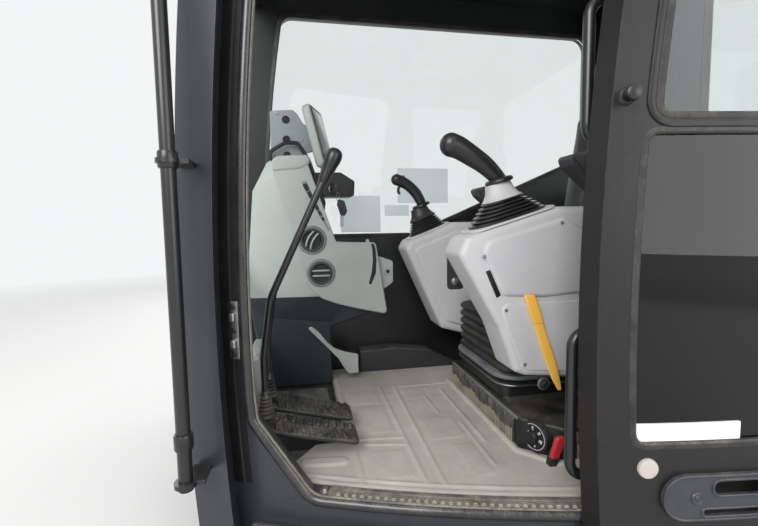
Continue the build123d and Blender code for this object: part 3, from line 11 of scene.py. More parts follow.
import bmesh
import bpy
from mathutils import Matrix, Vector, noise

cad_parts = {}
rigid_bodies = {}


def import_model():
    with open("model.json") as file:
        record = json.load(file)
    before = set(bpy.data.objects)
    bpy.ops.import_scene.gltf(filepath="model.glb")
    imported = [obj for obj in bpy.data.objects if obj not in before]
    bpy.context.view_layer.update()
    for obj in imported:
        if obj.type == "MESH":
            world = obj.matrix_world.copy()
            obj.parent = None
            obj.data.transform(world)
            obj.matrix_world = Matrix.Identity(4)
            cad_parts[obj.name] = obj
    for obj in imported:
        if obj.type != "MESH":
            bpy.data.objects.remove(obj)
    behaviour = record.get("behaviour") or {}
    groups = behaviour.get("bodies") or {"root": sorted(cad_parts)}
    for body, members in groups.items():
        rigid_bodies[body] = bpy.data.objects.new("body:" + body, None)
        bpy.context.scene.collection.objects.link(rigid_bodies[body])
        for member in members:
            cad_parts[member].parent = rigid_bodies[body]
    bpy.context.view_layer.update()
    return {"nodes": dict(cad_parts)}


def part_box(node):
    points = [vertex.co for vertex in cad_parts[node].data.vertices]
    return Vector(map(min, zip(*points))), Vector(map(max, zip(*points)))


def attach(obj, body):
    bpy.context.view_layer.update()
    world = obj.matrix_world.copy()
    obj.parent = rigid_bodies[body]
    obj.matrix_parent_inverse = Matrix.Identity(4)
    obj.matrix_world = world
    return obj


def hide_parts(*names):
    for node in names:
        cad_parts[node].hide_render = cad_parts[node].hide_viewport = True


for leftover in list(bpy.data.objects):
    bpy.data.objects.remove(leftover)
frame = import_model()
NODES = frame["nodes"]

# %% [markdown]
# ## The camera
# The picture is taken from outside the open door, a little ahead of the seat and at the height of the
# armrest. A camera looks along its own -z axis, so its matrix is built from three directions: right, up and
# backwards. A focal length in pixels becomes one in millimetres through the width of the sensor.

# %% Camera beside the open door
EYE = Vector((0.455, 1.355, 0.72))
FOCAL_PX = 420.0
IMAGE_W = 758.0
SENSOR = 36.0
YAW = math.radians(10.5)
PITCH = math.atan(35.0 / FOCAL_PX)
ROLL = math.radians(0.9)

ahead = Vector((-math.sin(YAW) * math.cos(PITCH), -math.cos(YAW) * math.cos(PITCH), -math.sin(PITCH)))
level = Vector((-math.cos(YAW), math.sin(YAW), 0))
right = level * math.cos(ROLL) - level.cross(ahead) * math.sin(ROLL)
up = right.cross(ahead)
camera = bpy.data.objects.new("camera", bpy.data.cameras.new("camera"))
bpy.context.scene.collection.objects.link(camera)
camera.matrix_world = Matrix([(right[i], up[i], -ahead[i], EYE[i]) for i in range(3)] + [(0, 0, 0, 1)])
camera.data.sensor_width = SENSOR
camera.data.lens = SENSOR * FOCAL_PX / IMAGE_W
camera.data.clip_start = 0.01
bpy.context.scene.camera = camera
print("lens", round(camera.data.lens, 2), "mm")

# %% [markdown]
# ## Nodes in one line each
# A material is a tree of nodes. Making a node, setting its options and filling or linking its sockets takes
# many lines, so helpers do all three. A socket that gets another node's output is linked, and one that
# gets a number or colour is set.


# %% Helpers that make nodes and materials
def fill(tree, made, sockets):
    """Link or set a node's sockets by name or number."""
    for name, value in sockets.items():
        if isinstance(value, bpy.types.NodeSocket):
            tree.links.new(value, made.inputs[name])
        else:
            made.inputs[name].default_value = value


def node(tree, kind, sockets=None, **options):
    """Make a node, set its options, and fill or link its sockets."""
    made = tree.nodes.new("ShaderNode" + kind)
    for name, value in options.items():
        setattr(made, name, value)
    fill(tree, made, sockets or {})
    return made


def new_material(name):
    """A material, with its tree and its principled shader."""
    material = bpy.data.materials.new(name)
    material.use_nodes = True
    return material, material.node_tree, material.node_tree.nodes["Principled BSDF"]


def sums(tree, operation, first, second=0.5, clamp=False):
    """One step of arithmetic on two values."""
    return node(tree, "Math", {0: first, 1: second}, operation=operation, use_clamp=clamp).outputs[0]


def between(tree, value, low, high):
    """A mask that is 0 below low and 1 above high."""
    return node(tree, "MapRange", {"Value": value, "From Min": low, "From Max": high}).outputs[0]


def mixed(tree, factor, first, second):
    """A colour between two colours."""
    return node(tree, "Mix", {0: factor, 6: first, 7: second}, data_type="RGBA").outputs[2]


def looked_at(tree):
    """A mask of the rays that look at a surface, directly, in a mirror or through glass."""
    rays = node(tree, "LightPath").outputs
    direct = sums(tree, "MAXIMUM", rays["Is Camera Ray"], rays["Is Transmission Ray"])
    return sums(tree, "MAXIMUM", direct, rays["Is Glossy Ray"])


def at_object(tree):
    """The place of a shaded point on its object."""
    return node(tree, "TexCoord").outputs["Object"]


def colour(red, green, blue):
    """A colour given as it looks on screen, 0 to 255, as the linear colour that Blender works in."""
    parts = [c / 255 for c in (red, green, blue)]
    return tuple(((c + 0.055) / 1.055) ** 2.4 if c > 0.04 else c / 12.92 for c in parts) + (1.0,)


# %% [markdown]
# ## Effects that many finishes share
# Dust settles on what faces up, paint wears thin along edges, and moulded plastic has a fine pebble grain.
# Each effect is a node group: a small tree with named inputs and outputs that any material can use with its
# own values. Groups put out only masks, heights and normals, and the shader stays in the material.


# %% A helper that starts a group
def group(name, inputs, outputs):
    """An empty node group; gives its tree, its input sockets and its output node."""
    tree = bpy.data.node_groups.new(name, "ShaderNodeTree")
    for label, kind, value in inputs:
        made = tree.interface.new_socket(name=label, in_out="INPUT", socket_type="NodeSocket" + kind)
        made.default_value = value
    for label, kind in outputs:
        tree.interface.new_socket(name=label, in_out="OUTPUT", socket_type="NodeSocket" + kind)
    return tree, tree.nodes.new("NodeGroupInput").outputs, tree.nodes.new("NodeGroupOutput")


def place_group(tree, name, sockets=None):
    """Put a group into a material."""
    return node(tree, "Group", sockets, node_tree=bpy.data.node_groups[name]).outputs


# %% Grain: the pebbled surface of moulded plastic
tree, given, out = group("moulded_grain", [("Size", "Float", 0.001)], [("Height", "Float")])
where = at_object(tree)
scale = sums(tree, "DIVIDE", 1.0, given["Size"])
cells = node(tree, "TexVoronoi", {"Vector": where, "Scale": scale}).outputs["Distance"]
waves = node(tree, "TexNoise", {"Vector": where, "Scale": scale, "Detail": 3.0}).outputs["Fac"]
height = sums(tree, "ADD", cells, waves)
tree.links.new(height, out.inputs["Height"])

# %% Worn edges: where a rounded normal differs from the flat one, paint rubs thin
tree, given, out = group(
    "worn_edges", [("Radius", "Float", 0.002), ("Amount", "Float", 0.5)],
    [("Mask", "Float"), ("Normal", "Vector")],
)
rounded = node(tree, "Bevel", {"Radius": given["Radius"]}, samples=4).outputs[0]
flat = node(tree, "NewGeometry").outputs["Normal"]
along = node(tree, "VectorMath", {0: rounded, 1: flat}, operation="DOT_PRODUCT").outputs["Value"]
edge = between(tree, along, 0.985, 0.8)
where = at_object(tree)
patches = node(
    tree, "TexNoise", {"Vector": where, "Scale": 38.0, "Detail": 6.0, "Roughness": 0.7},
).outputs["Fac"]
rubbed = sums(tree, "MULTIPLY", edge, between(tree, patches, 0.48, 0.66))
mask = sums(tree, "MULTIPLY", rubbed, given["Amount"], clamp=True)
tree.links.new(mask, out.inputs["Mask"])
tree.links.new(rounded, out.inputs["Normal"])

# %% Settled dust: clings to what faces up, in clouds
tree, given, out = group(
    "settled_dust", [("Amount", "Float", 0.4), ("Size", "Float", 0.15), ("On Sides", "Float", 0.1)],
    [("Mask", "Float")],
)
where = at_object(tree)
clouds = node(
    tree, "TexNoise",
    {"Vector": where, "Scale": sums(tree, "DIVIDE", 1.0, given["Size"]), "Detail": 8.0, "Roughness": 0.65},
).outputs["Fac"]
specks = node(tree, "TexNoise", {"Vector": where, "Scale": 240.0, "Detail": 4.0}).outputs["Fac"]
upwards = node(tree, "SeparateXYZ", {0: node(tree, "NewGeometry").outputs["Normal"]}).outputs["Z"]
facing = node(
    tree, "MapRange", {"Value": upwards, "From Min": 0.1, "From Max": 0.95, "To Min": given["On Sides"]},
)
cover = sums(tree, "MULTIPLY", between(tree, clouds, 0.36, 0.64), facing.outputs[0])
speckled = sums(tree, "MULTIPLY", cover, between(tree, specks, 0.2, 0.62))
tree.links.new(sums(tree, "MULTIPLY", speckled, given["Amount"], clamp=True), out.inputs["Mask"])

# %% Scratches: thin straight marks in two directions
tree, given, out = group(
    "scratches", [("Amount", "Float", 0.3), ("Size", "Float", 0.03)], [("Mask", "Float")],
)
where = at_object(tree)
total = 0.0
for turn, stretch in (((0.3, 0.5, 0.2), (1.0, 26.0, 18.0)), ((1.1, 0.2, 0.9), (22.0, 1.0, 30.0))):
    spun = node(tree, "Mapping", {"Vector": where, "Rotation": turn, "Scale": stretch}).outputs[0]
    lines = node(
        tree, "TexNoise", {"Vector": spun, "Scale": sums(tree, "DIVIDE", 1.0, given["Size"]), "Detail": 2.0},
    )
    total = sums(tree, "ADD", between(tree, lines.outputs["Fac"], 0.69, 0.74), total)
tree.links.new(sums(tree, "MULTIPLY", total, given["Amount"], clamp=True), out.inputs["Mask"])

# %% Weave: two sets of threads that pass over and under each other
tree, given, out = group("weave", [("Thread", "Float", 0.0012)], [("Height", "Float"), ("Mask", "Float")])
parts = node(tree, "SeparateXYZ", {0: at_object(tree)}).outputs
turns = sums(tree, "DIVIDE", math.pi, given["Thread"])
rows = []
for first, second in (("Y", "X"), ("Z", "X"), ("Y", "Z")):
    crossing = [sums(tree, "SINE", sums(tree, "MULTIPLY", parts[axis], turns)) for axis in (first, second)]
    rows.append(sums(tree, "MULTIPLY", *crossing))
facing = node(
    tree, "VectorMath", {0: node(tree, "NewGeometry").outputs["Normal"]}, operation="ABSOLUTE",
).outputs[0]
share = node(tree, "SeparateXYZ", {0: facing}).outputs
thread = 0.0
for row, axis in zip(rows, ("Z", "Y", "X")):
    thread = sums(tree, "ADD", sums(tree, "MULTIPLY", row, sums(tree, "POWER", share[axis], 4.0)), thread)
tree.links.new(thread, out.inputs["Height"])
tree.links.new(between(tree, thread, -0.6, 0.8), out.inputs["Mask"])

# %% Cell lining: a mask of the faces that look into the cab's cell, which is lined in black
SIDE_R, SIDE_X, SIDE_Y = 3.1, -0.72, -2.405  # the arc of the cab's left side
CELL_R, CELL_RIGHT, CELL_REAR, CELL_TOP = 3.055, -0.3765, -0.8815, 1.6515
tree, given, out = group("cell_lining", [("Margin", "Float", 0.0015)], [("Mask", "Float")])
parts = node(tree, "SeparateXYZ", {0: at_object(tree)}).outputs
from_side = node(
    tree, "CombineXYZ", {0: sums(tree, "ADD", parts["X"], -SIDE_X), 1: sums(tree, "ADD", parts["Y"], -SIDE_Y)}
).outputs[0]
radius = node(tree, "VectorMath", {0: from_side}, operation="LENGTH").outputs["Value"]
inside = sums(tree, "LESS_THAN", radius, sums(tree, "ADD", given["Margin"], CELL_R))
for axis, operation, edge in (
    ("Y", "GREATER_THAN", CELL_RIGHT), ("X", "GREATER_THAN", CELL_REAR), ("Z", "LESS_THAN", CELL_TOP),
):
    inside = sums(tree, "MULTIPLY", inside, sums(tree, operation, parts[axis], edge))
tree.links.new(inside, out.inputs["Mask"])
print("groups:", sorted(g.name for g in bpy.data.node_groups))

# %% [markdown]
# ## One recipe, many finishes
# Paint, plastic, rubber and steel differ in a few numbers: colour, gloss, grain, how far edges are worn and
# how much dust lies on them. One function builds the tree and each finish is a call with its own numbers,
# which keeps them easy to compare. Numbers that are the same all over a surface go straight to the shader's
# sockets.

# %% The recipe
DUST = colour(186, 176, 160)
MATERIALS = {}


def finish(
    name, base, rough, second, metal=0.0, grain=None, wear=None, dust=None, scratch=None, coat=0.0, sheen=0.0,
    weave=None, coat_rough=0.2, level=0.5, lining=None, foot=None,
):
    """A principled material whose colour drifts in clouds from base to second, all colours 0 to 255.
    grain=(size, depth), wear=(radius, amount, colour), dust=(amount, size, on sides),
    scratch=(amount, size, colour), weave=(thread, depth), lining is the colour of faces inside the cell and
    foot=(height, colour) is another colour below a height."""
    material, tree, shader = new_material(name)
    base = colour(*base)
    where = at_object(tree)
    clouds = node(
        tree, "TexNoise", {"Vector": where, "Scale": 9.0, "Detail": 7.0, "Roughness": 0.6},
    ).outputs["Fac"]
    tint = mixed(tree, between(tree, clouds, 0.3, 0.7), base, colour(*second))
    if lining:
        tint = mixed(tree, place_group(tree, "cell_lining")["Mask"], tint, colour(*lining))
    if foot:
        height_up = node(tree, "SeparateXYZ", {0: where}).outputs["Z"]
        tint = mixed(tree, sums(tree, "LESS_THAN", height_up, foot[0]), tint, colour(*foot[1]))
    gloss = node(tree, "MapRange", {"Value": clouds, "To Min": rough * 0.8, "To Max": rough * 1.2}).outputs[0]
    height = None
    if weave:
        cloth = place_group(tree, "weave", {"Thread": weave[0]})
        tint = mixed(tree, cloth["Mask"], tuple(c * 0.45 for c in base[:3]) + (1.0,), tint)
        height, depth = cloth["Height"], weave[1]
    if grain:
        height, depth = place_group(tree, "moulded_grain", {"Size": grain[0]})["Height"], grain[1]
    if scratch:
        marks = place_group(tree, "scratches", {"Amount": scratch[0], "Size": scratch[1]})["Mask"]
        tint = mixed(tree, marks, tint, colour(*scratch[2]))
    normal = None
    if wear:
        worn = place_group(tree, "worn_edges", {"Radius": wear[0], "Amount": wear[1]})
        tint = mixed(tree, worn["Mask"], tint, colour(*wear[2]))
        normal = worn["Normal"]
    if dust:
        fine = place_group(tree, "settled_dust", {"Amount": dust[0], "Size": dust[1], "On Sides": dust[2]})
        tint = mixed(tree, fine["Mask"], tint, DUST)
        gloss = node(tree, "Mix", {0: fine["Mask"], 2: gloss, 3: 0.9}).outputs[0]
    if height is not None:
        bump = node(tree, "Bump", {"Height": height, "Strength": 1.0, "Distance": depth})
        if normal is not None:
            tree.links.new(normal, bump.inputs["Normal"])
        normal = bump.outputs[0]
    if normal is not None:
        tree.links.new(normal, shader.inputs["Normal"])
    fill(
        tree, shader, {"Base Color": tint, "Roughness": gloss, "Metallic": metal, "Specular IOR Level": level}
    )
    fill(tree, shader, {"Coat Weight": coat, "Coat Roughness": coat_rough})
    if sheen:
        fill(tree, shader, {"Sheen Weight": sheen, "Sheen Roughness": 0.4})
    MATERIALS[name] = material
    return material


# %% Finishes of the cab
STEEL = (150, 148, 144)
PALE_WEAR = (128, 126, 124)
finish(
    "cab_paint", (46, 49, 57), 0.36, (40, 43, 49), grain=(0.0016, 0.00004), wear=(0.002, 0.5, PALE_WEAR),
    dust=(0.2, 0.2, 0.05), scratch=(0.12, 0.05, PALE_WEAR), coat=0.25, lining=(22, 23, 26),
)
finish(
    "door_paint", (35, 33, 33), 0.42, (29, 28, 28), grain=(0.0016, 0.00004), wear=(0.0025, 0.5, PALE_WEAR),
    dust=(0.18, 0.2, 0.03), scratch=(0.1, 0.05, PALE_WEAR), coat=0.05, level=0.35,
)
finish(
    "seal_rubber", (36, 37, 39), 0.34, (54, 54, 55), grain=(0.0009, 0.00004), dust=(0.5, 0.06, 0.25),
    scratch=(0.3, 0.02, (120, 118, 114)),
)
finish(
    "rail_steel", (172, 172, 170), 0.34, (140, 138, 134), metal=0.9, grain=(0.0012, 0.00002),
    wear=(0.001, 0.3, (210, 210, 208)), dust=(0.4, 0.1, 0.1), scratch=(0.3, 0.03, (96, 92, 88)),
)
finish(
    "mat_rubber", (158, 155, 148), 0.8, (128, 127, 124), grain=(0.0022, 0.00012), dust=(0.9, 0.09, 0.2),
    scratch=(0.22, 0.03, (196, 190, 180)), level=0.3,
)
finish(
    "frame_black", (27, 28, 30), 0.42, (22, 23, 25), grain=(0.0014, 0.00005), wear=(0.0015, 0.5, PALE_WEAR),
    dust=(0.22, 0.1, 0.08),
)
finish(
    "release_red", (205, 46, 56), 0.42, (180, 34, 46), grain=(0.0012, 0.00003),
    wear=(0.0015, 0.4, (236, 150, 150)), dust=(0.3, 0.05, 0.1), coat=0.2,
)
finish(
    "seat_fabric", (44, 46, 52), 0.85, (54, 56, 61), weave=(0.0016, 0.00035), dust=(0.12, 0.15, 0.1),
    sheen=0.35, level=0.2,
)
finish(
    "console_light", (196, 195, 197), 0.5, (188, 187, 190), grain=(0.0011, 0.00005),
    wear=(0.0025, 0.35, (222, 221, 220)), dust=(0.3, 0.25, 0.08),
)
finish(
    "console_dark", (50, 51, 55), 0.5, (44, 45, 49), grain=(0.0011, 0.00006),
    wear=(0.0018, 0.35, (110, 110, 112)), dust=(0.35, 0.2, 0.08),
)
finish(
    "console_green", (192, 196, 193), 0.5, (183, 187, 184), grain=(0.0011, 0.00005),
    wear=(0.0025, 0.35, (214, 220, 214)), dust=(0.3, 0.25, 0.08),
)
finish(
    "grip_plastic", (30, 31, 34), 0.34, (25, 26, 28), grain=(0.0008, 0.00003), dust=(0.12, 0.08, 0.05),
    coat=0.1,
)
finish(
    "pedal_rubber", (24, 25, 27), 0.5, (40, 40, 41), grain=(0.0018, 0.00008),
    wear=(0.0016, 0.7, (120, 118, 115)), dust=(0.35, 0.05, 0.1),
)
finish(
    "lever_yellow", (248, 196, 92), 0.42, (242, 184, 74), grain=(0.0012, 0.00003),
    wear=(0.0015, 0.4, (246, 214, 140)), dust=(0.25, 0.1, 0.05), coat=0.15,
)
print(len(MATERIALS), "finishes")


# %% [markdown]
# ## Glass
# Safety glass is clear with a faint green cast, and the sliding door's lower pane is tinted dark. Light that
# passes through a thick refracting pane would leave the inside too dark, so rays that only carry shadow see a
# plain transparent sheet, and every other ray sees real glass.


# %% Glass with a see-through shadow
def glass(name, tint, shadow, rough):
    """Refracting glass that lets light through to what stands behind it; colours are 0 to 255."""
    material, tree, shader = new_material(name)
    where = at_object(tree)
    smears = node(
        tree, "TexNoise", {"Vector": where, "Scale": 7.0, "Detail": 8.0, "Distortion": 1.5},
    ).outputs["Fac"]
    film = node(tree, "MapRange", {"Value": smears, "To Min": rough * 0.5, "To Max": rough * 2.5}).outputs[0]
    tint = colour(*tint)
    tint = mixed(tree, smears, tint, tuple(c * 0.94 for c in tint[:3]) + (1.0,))
    fill(tree, shader, {"Base Color": tint, "Roughness": film, "Transmission Weight": 1.0, "IOR": 1.45})
    clear = node(tree, "BsdfTransparent", {"Color": colour(*shadow)}).outputs[0]
    shaded = node(tree, "LightPath").outputs["Is Shadow Ray"]
    both = node(tree, "MixShader", {0: shaded, 1: shader.outputs[0], 2: clear}).outputs[0]
    fill(tree, tree.nodes["Material Output"], {"Surface": both})
    MATERIALS[name] = material


glass("clear_glass", (242, 246, 245), (242, 246, 244), 0.002)
glass("tinted_glass", (26, 33, 33), (56, 64, 64), 0.0)


# %% Each solid gets the finish of its slot
def repaint(name, material):
    """Give a solid one finish all over."""
    slots = NODES[name].data.materials
    for i in range(len(slots)):
        slots[i] = material


for name, solid in NODES.items():
    repaint(name, MATERIALS[solid.data.materials[0].name.split(".")[0]])
print("solids painted")

# %% [markdown]
# ## A plain studio
# A pale floor and a white surround show the object with nothing else in the picture. Large soft lamps stand
# where the light comes in: one high in front of the door, one lower behind the camera's other shoulder, and
# one above the roof. The surround is white only for rays that look at it, and a dimmer sky lights the object.

# %% Floor, which fades into the surround with distance
FLOOR_SIZE = 24.0
FADE = (2.2, 7.0)  # distances between which the floor fades away
SURROUND = colour(244, 245, 246)
floor = bpy.data.objects.new("studio_floor", bpy.data.meshes.new("studio_floor"))
bpy.context.scene.collection.objects.link(floor)
ground = bmesh.new()
bmesh.ops.create_grid(ground, x_segments=24, y_segments=24, size=FLOOR_SIZE)
ground.to_mesh(floor.data)
ground.free()
pale, tree, shader = new_material("studio_floor")
fill(tree, shader, {"Base Color": colour(208, 208, 207), "Roughness": 0.85})
out_from = node(tree, "VectorMath", {0: at_object(tree)}, operation="LENGTH").outputs["Value"]
far_off = sums(tree, "MULTIPLY", between(tree, out_from, *FADE), looked_at(tree))
surround = node(tree, "Emission", {"Color": SURROUND, "Strength": 1.0}).outputs[0]
faded = node(tree, "MixShader", {0: far_off, 1: shader.outputs[0], 2: surround}).outputs[0]
fill(tree, tree.nodes["Material Output"], {"Surface": faded})
floor.data.materials.append(pale)

# %% Surround and lamps
SKY_STRENGTH = 0.75
world = bpy.data.worlds.new("studio")
bpy.context.scene.world = world
world.use_nodes = True
tree = world.node_tree
tree.nodes.clear()
dim = node(tree, "Background", {"Color": (1, 1, 1, 1), "Strength": SKY_STRENGTH}).outputs[0]
bright = node(tree, "Background", {"Color": SURROUND, "Strength": 1.0}).outputs[0]
node(
    tree, "OutputWorld",
    {"Surface": node(tree, "MixShader", {0: looked_at(tree), 1: dim, 2: bright}).outputs[0]},
)
bpy.context.scene.view_settings.view_transform = "Standard"

LAMPS = (
    ("key", (2.3, 3.6, 3.0), (0.1, 0.0, 0.6), 2.4, 150.0),
    ("fill", (-2.2, 3.6, 1.6), (0.0, 0.0, 0.6), 2.4, 45.0),
    ("top", (0.0, -0.5, 4.2), (0.0, 0.0, 0.6), 3.0, 70.0),
    ("far", (0.6, -3.8, 2.4), (0.0, 0.0, 0.8), 2.8, 60.0),
)
for name, place, aim, size, watts in LAMPS:
    lamp = bpy.data.objects.new(name, bpy.data.lights.new(name, "AREA"))
    lamp.data.energy = watts
    lamp.data.size = size
    lamp.location = place
    lamp.rotation_euler = (Vector(aim) - Vector(place)).to_track_quat("-Z", "Y").to_euler()
    lamp.visible_camera = lamp.visible_transmission = False
    bpy.context.scene.collection.objects.link(lamp)
print(len(LAMPS), "lamps")

# %% [markdown]
# ## Shapes from outlines
# Moulded housings are flat outlines with thickness whose edges are rolled over. Each is built ring by ring:
# the outline's corners become arcs, and near the face the rings shrink along a quarter circle. Faces between
# neighbouring rings then give a smooth edge with no modifier to apply.


# %% Outlines with arcs at their corners
MM = 0.001


def arcs(points, radius, steps=6):
    """Corner arcs on a closed outline of 2-D points, turned to run anticlockwise."""
    points = [Vector(p) for p in points]
    area = sum(a.x * b.y - b.x * a.y for a, b in zip(points, points[1:] + points[:1]))
    if area < 0:
        points.reverse()
    made = []
    for i, corner in enumerate(points):
        before, after = points[i - 1], points[(i + 1) % len(points)]
        u, v = (before - corner).normalized(), (after - corner).normalized()
        half = u.angle(v) / 2
        reach = min(radius / math.tan(half), 0.46 * (before - corner).length, 0.46 * (after - corner).length)
        start = corner + u * reach
        centre = corner + (u + v).normalized() * reach / math.cos(half)
        spoke = start - centre
        turn = -spoke.angle_signed(corner + v * reach - centre)
        for k in range(steps + 1):
            a = turn * k / steps
            made.append(
                centre
                + Vector((
                    spoke.x * math.cos(a) - spoke.y * math.sin(a),
                    spoke.x * math.sin(a) + spoke.y * math.cos(a),
                ))
            )
    return made


def rectangle(x0, x1, y0, y1, radius, steps=6):
    """A rounded rectangle."""
    return arcs([(x0, y0), (x1, y0), (x1, y1), (x0, y1)], radius, steps)


def angles(count):
    """Evenly spaced angles round a circle."""
    return [2 * math.pi * k / count for k in range(count)]


def eased(corner, u, v, reach, steps):
    """A curve round a corner, between points at a reach from it along u and v."""
    shares = [k / steps for k in range(steps + 1)]
    return [
        (1 - t) ** 2 * (corner + u * reach) + 2 * t * (1 - t) * corner + t**2 * (corner + v * reach)
        for t in shares
    ]


def shrink(outline, distance):
    """An anticlockwise outline moved inwards, or outwards below 0."""
    made = []
    for i, b in enumerate(outline):
        a, c = outline[i - 1], outline[(i + 1) % len(outline)]
        e, f = (b - a).normalized(), (c - b).normalized()
        n, m = Vector((-e.y, e.x)), Vector((-f.y, f.x))
        made.append(b + (n + m) * distance / max(1 + n.dot(m), 0.4))
    return made


def skin(mesh, rings, start=True, end=True, closed=True):
    """Faces between rings of points, with the first and last ring filled."""
    loops = [[mesh.verts.new(p) for p in ring] for ring in rings]
    for a, b in zip(loops, loops[1:]):
        for i in range(len(a) if closed else len(a) - 1):
            j = (i + 1) % len(a)
            mesh.faces.new((a[i], a[j], b[j], b[i]))
    if start:
        mesh.faces.new(loops[0][::-1])
    if end:
        mesh.faces.new(loops[-1])
    return mesh


def rolled(mesh, outline, place, foot, top, edge, steps=5, foot_edge=0.0):
    """A slab of an outline whose upper edge is rolled; place turns (u, v, height) into a point."""
    rings = [[place(p.x, p.y, foot + foot_edge) for p in outline]]
    if foot_edge:
        rings.insert(0, [place(p.x, p.y, foot) for p in shrink(outline, foot_edge)])
    for k in range(steps + 1):
        a = math.pi / 2 * k / steps
        ring = shrink(outline, edge * (1 - math.cos(a)))
        rings.append([place(p.x, p.y, top - edge * (1 - math.sin(a))) for p in ring])
    return skin(mesh, rings)


def on_plan(x, y, z):
    """Place a plan with its thickness upwards."""
    return Vector((x, y, z))


def on_side(x, z, y):
    """Place a side view so that its thickness runs to the left."""
    return Vector((x, y, z))


def side_slab(mesh, points, radius, *numbers, **options):
    """A rolled slab from the corners of a side view."""
    return rolled(mesh, arcs(points, radius), on_side, *numbers, **options)


def bolt(mesh, centre, axis, r=0.008, h=0.005, washer=1.55):
    """A hexagonal bolt head on a washer."""
    axis = Vector(axis).normalized()
    wide = r / MM
    lathe(
        mesh, [(0, 0), (0, wide * washer), (1.2, wide * washer), (1.6, wide * 1.35), (1.6, 0)], centre, axis,
    )
    across = axis.orthogonal().normalized()
    other = axis.cross(across)
    corners = []
    for grow, up_by in ((1.0, 0.0014), (1.0, 0.0014 + h * 0.8), (0.86, 0.0014 + h)):
        corners.append([
            Vector(centre) + axis * up_by + (across * math.cos(a) + other * math.sin(a)) * r * grow
            for a in angles(6)
        ])
    return skin(mesh, corners)


def piece(name, mesh, body, slot, *replaced, material=None, angle=38.0, weld=True):
    """Name a mesh, smooth it except at sharp edges, and give it a body, a finish and what it replaces."""
    if weld:
        bmesh.ops.remove_doubles(mesh, verts=mesh.verts, dist=1e-6)
    bmesh.ops.recalc_face_normals(mesh, faces=mesh.faces)
    data = bpy.data.meshes.new(name)
    mesh.to_mesh(data)
    mesh.free()
    for face in data.polygons:
        face.use_smooth = True
    data.set_sharp_from_angle(angle=math.radians(angle))
    data.materials.append(material or MATERIALS[slot])
    made = bpy.data.objects.new(name, data)
    bpy.context.scene.collection.objects.link(made)
    if replaced:
        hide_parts(*replaced)
    if body:
        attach(made, body)
    return made


# %% Tubes, and shapes turned as on a lathe
def bezier_line(points, steps=10):
    """A smooth line through points (Catmull-Rom)."""
    points = [Vector(p) for p in points]
    ends = [2 * points[0] - points[1]] + points + [2 * points[-1] - points[-2]]
    made = []
    for a, b, c, d in zip(ends, ends[1:], ends[2:], ends[3:]):
        for k in range(steps):
            t = k / steps
            made.append(
                0.5 * (
                    2 * b + (c - a) * t + (2 * a - 5 * b + 4 * c - d) * t**2 + (3 * b - a - 3 * c + d) * t**3
                )
            )
    return made + [points[-1]]


def bent(points, radius, steps=6):
    """A line of straight runs with arcs at its bends."""
    points = [Vector(p) for p in points]
    made = [points[0]]
    for a, b, c in zip(points, points[1:], points[2:]):
        u, v = (a - b).normalized(), (c - b).normalized()
        half = u.angle(v) / 2
        made += eased(
            b, u, v, min(radius / math.tan(half), 0.48 * (a - b).length, 0.48 * (c - b).length), steps,
        )
    return made + [points[-1]]


def pipe(mesh, line, radius, sides=20, flat=1.0, side=None):
    """A tube along a line; radius is a number or a list, and flat squeezes it along its second direction."""
    line = [Vector(p) for p in line]
    radii = radius if isinstance(radius, (list, tuple)) else [radius] * len(line)
    tangent = (line[1] - line[0]).normalized()
    across = tangent.cross(side or Vector((0.31, 0.2, 0.93))).normalized()
    rings = []
    for i, p in enumerate(line):
        ahead_of = line[min(i + 1, len(line) - 1)] - line[max(i - 1, 0)]
        tangent = ahead_of.normalized()
        across = (across - tangent * across.dot(tangent)).normalized()
        other = tangent.cross(across)
        rings.append([
            p + (across * math.cos(a) + other * math.sin(a) * flat) * radii[i] for a in angles(sides)
        ])
    return skin(mesh, rings)


def lathe(mesh, profile, centre, axis, sides=28, hollow=False):
    """A shape turned round an axis; profile is a list of (height along the axis, radius) in millimetres, and
    a hollow one is a ring whose profile closes on itself."""
    axis = Vector(axis).normalized()
    across = axis.orthogonal().normalized()
    other = axis.cross(across)
    rings = [
        [
            Vector(centre) + axis * h * MM + (across * math.cos(a) + other * math.sin(a)) * max(r * MM, 1e-5)
            for a in angles(sides)
        ]
        for h, r in profile
    ]
    if hollow:
        return skin(mesh, rings + rings[:1], start=False, end=False)
    return skin(mesh, rings)


# %% Pieces that are one slab or one turned shape
def side_piece(name, points, radius, foot, top, edge, body, slot, *replaced, steps=5, foot_edge=0.0, **look):
    """A piece that is one slab, from the corners of its side view."""
    mesh = side_slab(bmesh.new(), points, radius, foot, top, edge, steps, foot_edge)
    return piece(name, mesh, body, slot, *replaced, **look)


def turned_piece(name, profile, centre, axis, body, slot, *replaced, sides=28, **look):
    """A piece that is one turned shape."""
    return piece(name, lathe(bmesh.new(), profile, centre, axis, sides), body, slot, *replaced, **look)


print("helpers ready")

# %% [markdown]
# ## Consoles beside the seat
# Each console is a hollow plastic moulding with a separate panel on the side towards the door. The outlines
# are side views, x against height over the cushion. A rolled slab gives the soft edge that catches the light,
# and the panels stand proud of the body with a shadow gap round them.

